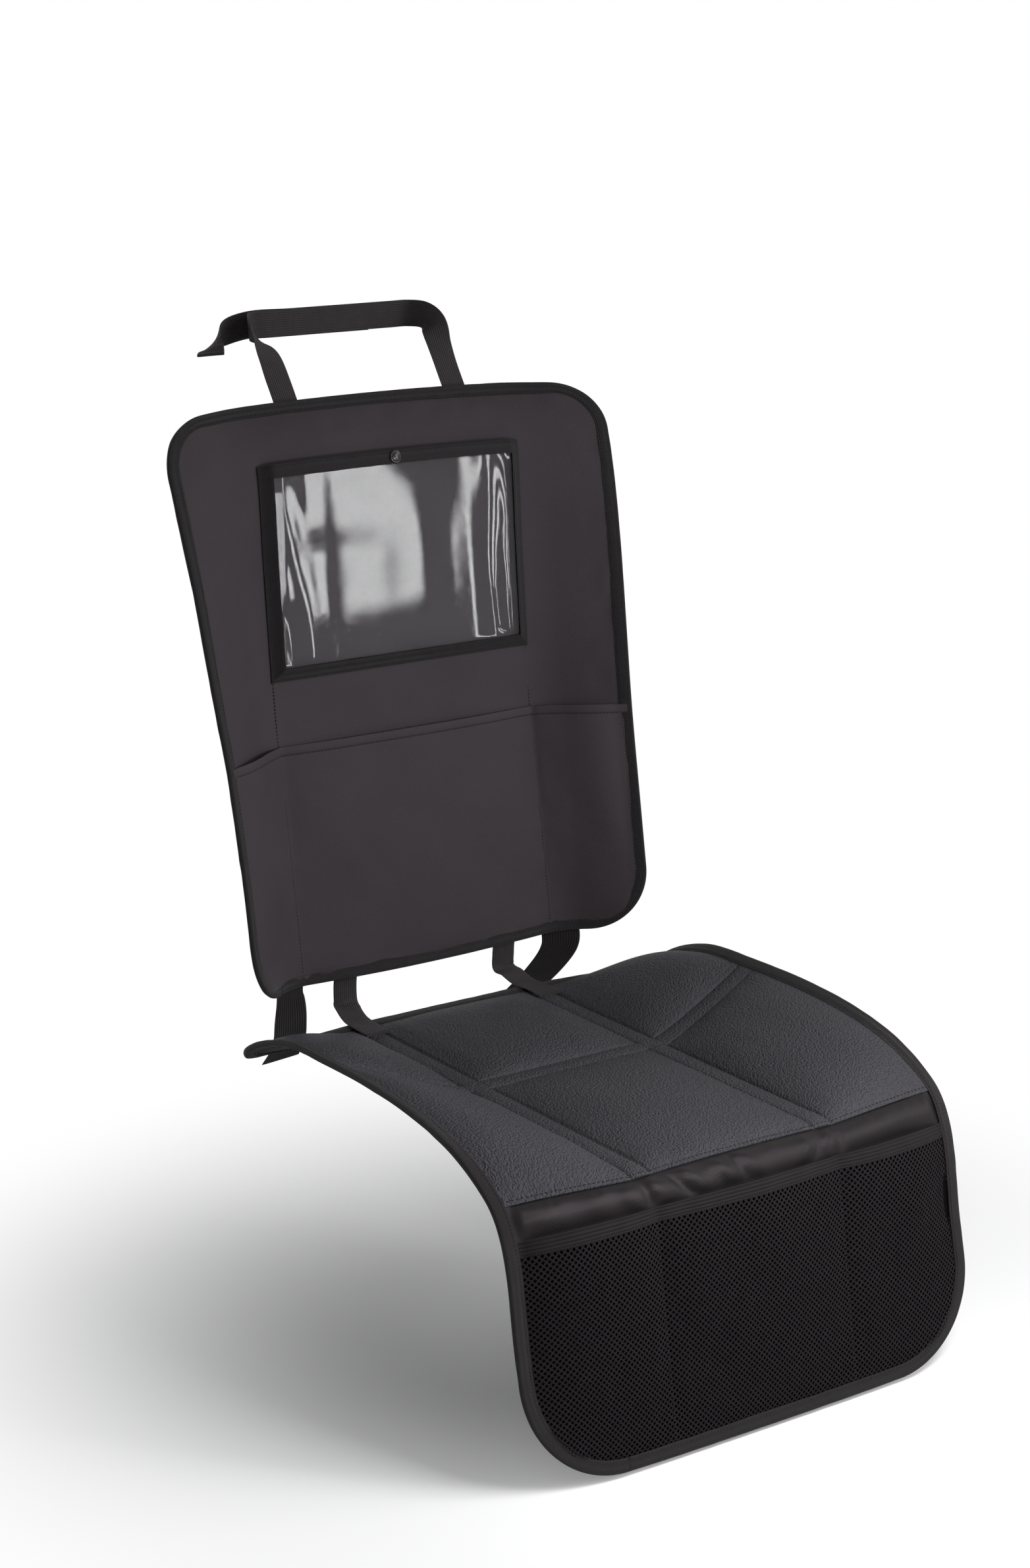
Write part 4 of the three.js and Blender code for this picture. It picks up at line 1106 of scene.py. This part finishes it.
fine_in, fine_out = channel_place - 14, channel_place + 14
cover_columns = through(-seat_half, 2.6, -fine_out, 1, -fine_in, 4, fine_in, 1, fine_out, 2.6, seat_half)
cover_rows = through(front_seam + 0.5, 1, front_seam + 12, 3, cross_channel - 14, 1, cross_channel + 14, 3,
                     seat.length - seat.high_radius, 1.6, seat.length)
seat_cover = mat_sheet("seat_cover_quilt", seat, cover_columns, cover_rows, cover_heights, make_leatherette(),
                       "leatherette", 80)
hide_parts("seat_cover")


def seam_on_cover(u, s):
    return seam_on(seat, u, s, on_face(cover_heights, 0.05))


along_seam = np.linspace(front_seam + 6, seat.length - rear_end, 260)
across_seam = np.linspace(-seam_end, seam_end, 280)
quilt_seams = [seam_on_cover(u, along_seam) for u in (-inner_edge, -channel_edge, inner_edge, channel_edge)]
quilt_seams += [seam_on_cover(across_seam, s) for s in (front_edge, rear_edge)]
sew("quilt_stitches", quilt_seams, "leatherette", 3.6, 2.7, 0.85)
sew("front_seam_stitches", [seam_on_cover(across_seam, front_seam + 3.5)], "leatherette", 4.4, 3.4, 1.3)


# Foam pads: grey open-cell foam inside the quilting. They stay as the solids have them, out of sight.
def make_foam():
    finish = Finish("foam", 0.1, 0.95)
    finish.raised(finish.cells(finish.place, 700), 0.0008, 0.7)
    finish.mottled(finish.place, (0.06, 0.06, 0.062), (0.1, 0.1, 0.102), 300)
    return finish.material


paint_solids([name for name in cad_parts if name.startswith("foam_")], make_foam())


# Underside: one sheet of black non-slip cloth under the seat mat and the flap, with small raised dots that
# keep it from sliding.
def make_grip():
    finish = Finish("grip_cloth", 0.15, 0.85)
    round_dots = finish.maths("SMOOTH_MAX", finish.crossed(0.008), 0.45, 0.2)
    finish.raised(finish.maths("MULTIPLY_ADD", finish.crossed(0.0014), 0.08, round_dots), 0.0009, 0.8)
    finish.mottled(finish.cloth, (0.009, 0.009, 0.0095), (0.016, 0.016, 0.017), 30)
    return finish.material


base_columns = through(-seat_half, 5, -channel_edge, 12, channel_edge, 5, seat_half)
base_rows = through(0, 3, seat.low_radius, 8, front_seam - 40, 2, front_seam + 30, 8,
                    seat.length - seat.high_radius, 3, seat.length)
base = mat_sheet("base_sheet_cloth", seat, base_columns, base_rows, lambda u, s: (0 * u, 0 * u + 0.9),
                 make_grip(), "grip_cloth")
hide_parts("base_sheet")


# Front band and flap: black satin-weave polyester. It is sewn under the front seam of the cover, gathers in
# loose puckers above the elastic, and makes the back wall of the net pockets. There a darker, almost
# glossless copy of the satin is painted shade of the net.
def make_satin(name, dark, pale, specular):
    """Satin with fine slanting floats of thread."""
    finish = Finish(name, specular, 0.4)
    slanted = finish.maths("ADD", finish.along, finish.maths("MULTIPLY", finish.across, 0.35))
    finish.raised(finish.wave(slanted, 0.0009), 0.00008, 0.4)
    finish.mottled(finish.cloth, dark, pale, 25)
    finish.set("Specular Tint", (1, 0.88, 0.94, 1))
    return finish.material


satin = make_satin("satin", (0.0066, 0.0056, 0.0062), (0.0106, 0.0091, 0.01), 0.1)
# A darker copy of the satin with almost no gloss: painted shade where the net covers the wall.
satin_painted_shade = make_satin("satin_painted_shade_behind_net", (0.0023, 0.002, 0.0022), (0.0037, 0.0032, 0.0035), 0.01)
gathers = [  # place across, half width, height and slant of each fold above the elastic
    (-196, 16, 0.9, 0.2), (-150, 14, 1.5, -0.3), (-112, 9, 1.6, 0.3), (-97, 4, -1.9, 0.2),
    (-80, 10, 2.4, 0.6), (-54, 5, -2.6, 0.9), (-41, 8, 2.2, 0.7), (-12, 6, 1.6, 0.6), (2, 4, -1.3, 0.5),
    (16, 7, 1.5, 0.5), (60, 6, 1.5, -0.5), (74, 4, -1.2, -0.6), (90, 8, 1.5, -0.2), (104, 4, -1.1, 0.1),
    (168, 22, 0.9, 0.1),
]


def satin_lift(u, s):
    """Puckers of the gathered band: soft upright folds of several widths, and short ones at the seam."""
    down = np.clip((front_seam - s) / band_width, 0, 1)
    folds = 0.7 * ripple(u + 0.3 * s, s, 34, 60, 61)
    for place, width, height, slant in gathers:
        folds = folds + height * np.exp(-(((u + slant * (s - elastic_top) - place) / width) ** 2))
    pinch = 0.5 * ripple(u, s * 0, 5, 1, 63) * np.sin(np.clip(down * 2.6, 0, 1) * math.pi)
    side = smooth_step(seat.half - np.abs(u), 12, 20)
    return (2.6 + folds) * np.sin(down * math.pi) * side + pinch * side


def satin_heights(u, s):
    low = cover_low + np.maximum(satin_lift(u, s), -0.2)
    return low, low + 0.7


flap_rows = through(0, 3, seat.low_radius, 8, elastic_top - 12, 2, elastic_top, 1.2, front_seam + 0.4)
front_panel = mat_sheet("front_panel_cloth", seat, spread(-seat_half, seat_half, 2.6), flap_rows,
                        satin_heights, satin, "satin", 80)
front_panel.data.materials.append(satin_painted_shade)
# Faces below the elastic, behind the net, take the darker copy of the satin: painted shade of the net.
for face in front_panel.data.polygons:
    from_lower_edge = front_panel.data.uv_layers["cloth"].data[face.loop_start].uv[1]
    face.material_index = int(from_lower_edge < (elastic_top - 8) * metre)
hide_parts("front_panel")

# Net pocket: an outer wall of black nylon net with small slanting holes, sewn down at the bottom, the sides
# and along two upright seams, so that it makes three pockets that stand a little open.
net_top, net_inset, net_gape = elastic_top - 3, 14, 10
net_pitch, net_hole, net_thickness = 2.6, 0.66, 0.4


def net_lift(u, s):
    share = np.clip((s - net_inset) / (elastic_top - net_inset), 0, 1)
    rise = np.sin(share * math.pi / 2) ** 0.7
    return net_gape * rise * crown(three_pockets(seat, u, channel_place, net_inset), 0, 1, 2.5)


def net_height(u, s):
    edge = smooth_step(np.minimum(seat.half_at(s, 0) - np.abs(u), s), 6, 16)
    from_seam = smooth_step(np.abs(np.abs(u) - channel_place), 2, 30)
    folds = 2.1 * ripple(u + 0.3 * s, s, 48, 90, 71) + 0.9 * ripple(u - 0.3 * s, s, 20, 60, 72)
    return 2.3 + 0.6 * edge + net_lift(u, s) + folds * edge * from_seam * smooth_step(s, 20, 70)


def make_net_finish():
    finish = Finish("net", 0.01, 0.7)
    finish.raised(finish.crossed(0.0007), 0.0001, 0.5)
    finish.mottled(finish.cloth, (0.0105, 0.0096, 0.0102), (0.019, 0.0174, 0.0185), 110)
    return finish.material


def make_knitting():
    """Geometry nodes that open a hole in each face of a slanting grid, which leaves a net of strands."""
    tree, source, found = start_tree("knitting", (
        ("Hole Share", "NodeSocketFloat"), ("Strand Finish", "NodeSocketMaterial")))
    split = add_node(tree, "GeometryNodeExtrudeMesh", {
        "Mesh": source["Geometry"], "Offset Scale": 0, "Individual": True}, mode="FACES").outputs
    shrink = add_node(tree, "GeometryNodeScaleElements", {
        "Geometry": split["Mesh"], "Selection": split["Top"], "Scale": source["Hole Share"]}).outputs[0]
    opened = add_node(tree, "GeometryNodeDeleteGeometry", {"Geometry": shrink, "Selection": split["Top"]},
                      domain="FACE").outputs[0]
    end_tree(tree, opened, source["Strand Finish"])
    return tree, found


def slanting_grid(low_u, high_u, low_s, high_s, pitch):
    """Diamond cells, twice as many steps across as a square grid, kept where they lie on the wall."""
    columns, rows = np.arange(low_u, high_u + pitch, pitch), np.arange(low_s, high_s + pitch, pitch)
    number, places, cells = {}, [], []
    for j in range(len(rows)):
        for i in range(j % 2, len(columns), 2):
            number[i, j] = len(places)
            places.append((columns[i], rows[j]))
    for j in range(1, len(rows) - 1):
        for i in range(1 + j % 2, len(columns) - 1, 2):
            cells.append([number[i, j - 1], number[i + 1, j], number[i, j + 1], number[i - 1, j]])
    return np.array(places), cells


def make_net():
    places, cells = slanting_grid(-seat_half, seat_half, 1, net_top, net_pitch)
    u, s = places.T
    inside = seat.half_at(s, 4) - np.abs(u)
    kept = [cell for cell in cells if all(inside[i] >= 0 and s[i] >= 4 for i in cell)]
    mesh = bpy.data.meshes.new("net_wall")
    mesh.from_pydata(seat.lay(u, s, net_height(u, s)), [], kept)
    map_cloth(mesh, places * metre)
    tidy = bmesh.new()
    tidy.from_mesh(mesh)
    bmesh.ops.delete(tidy, geom=[v for v in tidy.verts if not v.link_faces], context="VERTS")
    tidy.to_mesh(mesh)
    tidy.free()
    piece = new_object("net_pocket_wall", mesh)
    put_through(piece, *make_knitting(), {"Hole Share": net_hole, "Strand Finish": make_net_finish()})
    thick = piece.modifiers.new("strand", "SOLIDIFY")
    thick.thickness = net_thickness * metre
    thick.offset = 0
    plain_mesh(piece)
    return ride_as(piece, "net", 50)


net_wall = make_net()
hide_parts("net_pocket")
net_seams = [seam_on(seat, u, np.linspace(12, elastic_top - 1, 110), lambda u, s: net_height(u, s) + 0.35)
             for u in (-channel_place, channel_place)]
sew("net_stitches", net_seams, "net", 2.8, 2.2, 0.9)

# Elastic edge of the net pocket: ribbed elastic folded over the top of the net and sewn along its lower edge.
# It runs straight from side to side and stands away from the satin with the net.
elastic_low, elastic_half = elastic_top - 11, seat_half - 8


def elastic_heights(u, s):
    middle = net_height(u, s * 0 + elastic_top - 5)
    roll = 0.3 * crown(s, elastic_low, elastic_top, 4)
    return middle - 0.75 - roll, middle + 0.75 + roll


elastic_edge = mat_sheet("elastic_edge_band", seat, spread(-elastic_half, elastic_half, 3),
                         spread(elastic_low, elastic_top, 1), elastic_heights, elastic, "elastic", 60)
for corner in elastic_edge.data.uv_layers["cloth"].data:
    corner.uv = (corner.uv[1], corner.uv[0])
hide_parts("elastic_edge")
across_band = np.linspace(-seam_end, seam_end, 300)
edge_seam = seam_on(seat, across_band, elastic_low + 1.6, on_face(elastic_heights, 0.1))
sew("elastic_stitches", [edge_seam], "elastic", 2.4, 1.7, 0.8)

# Binding of the seat mat: the same herringbone tape, folded round the cover, the flap and the underside in
# one piece and sewn through with one row of stitches.
seat_binding = folded_tape("seat_binding_tape", seat, 0, cover_high, 81)
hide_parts("seat_binding")
sew_binding("seat_binding_stitches", seat, cover_high + 1.25, -1.25)
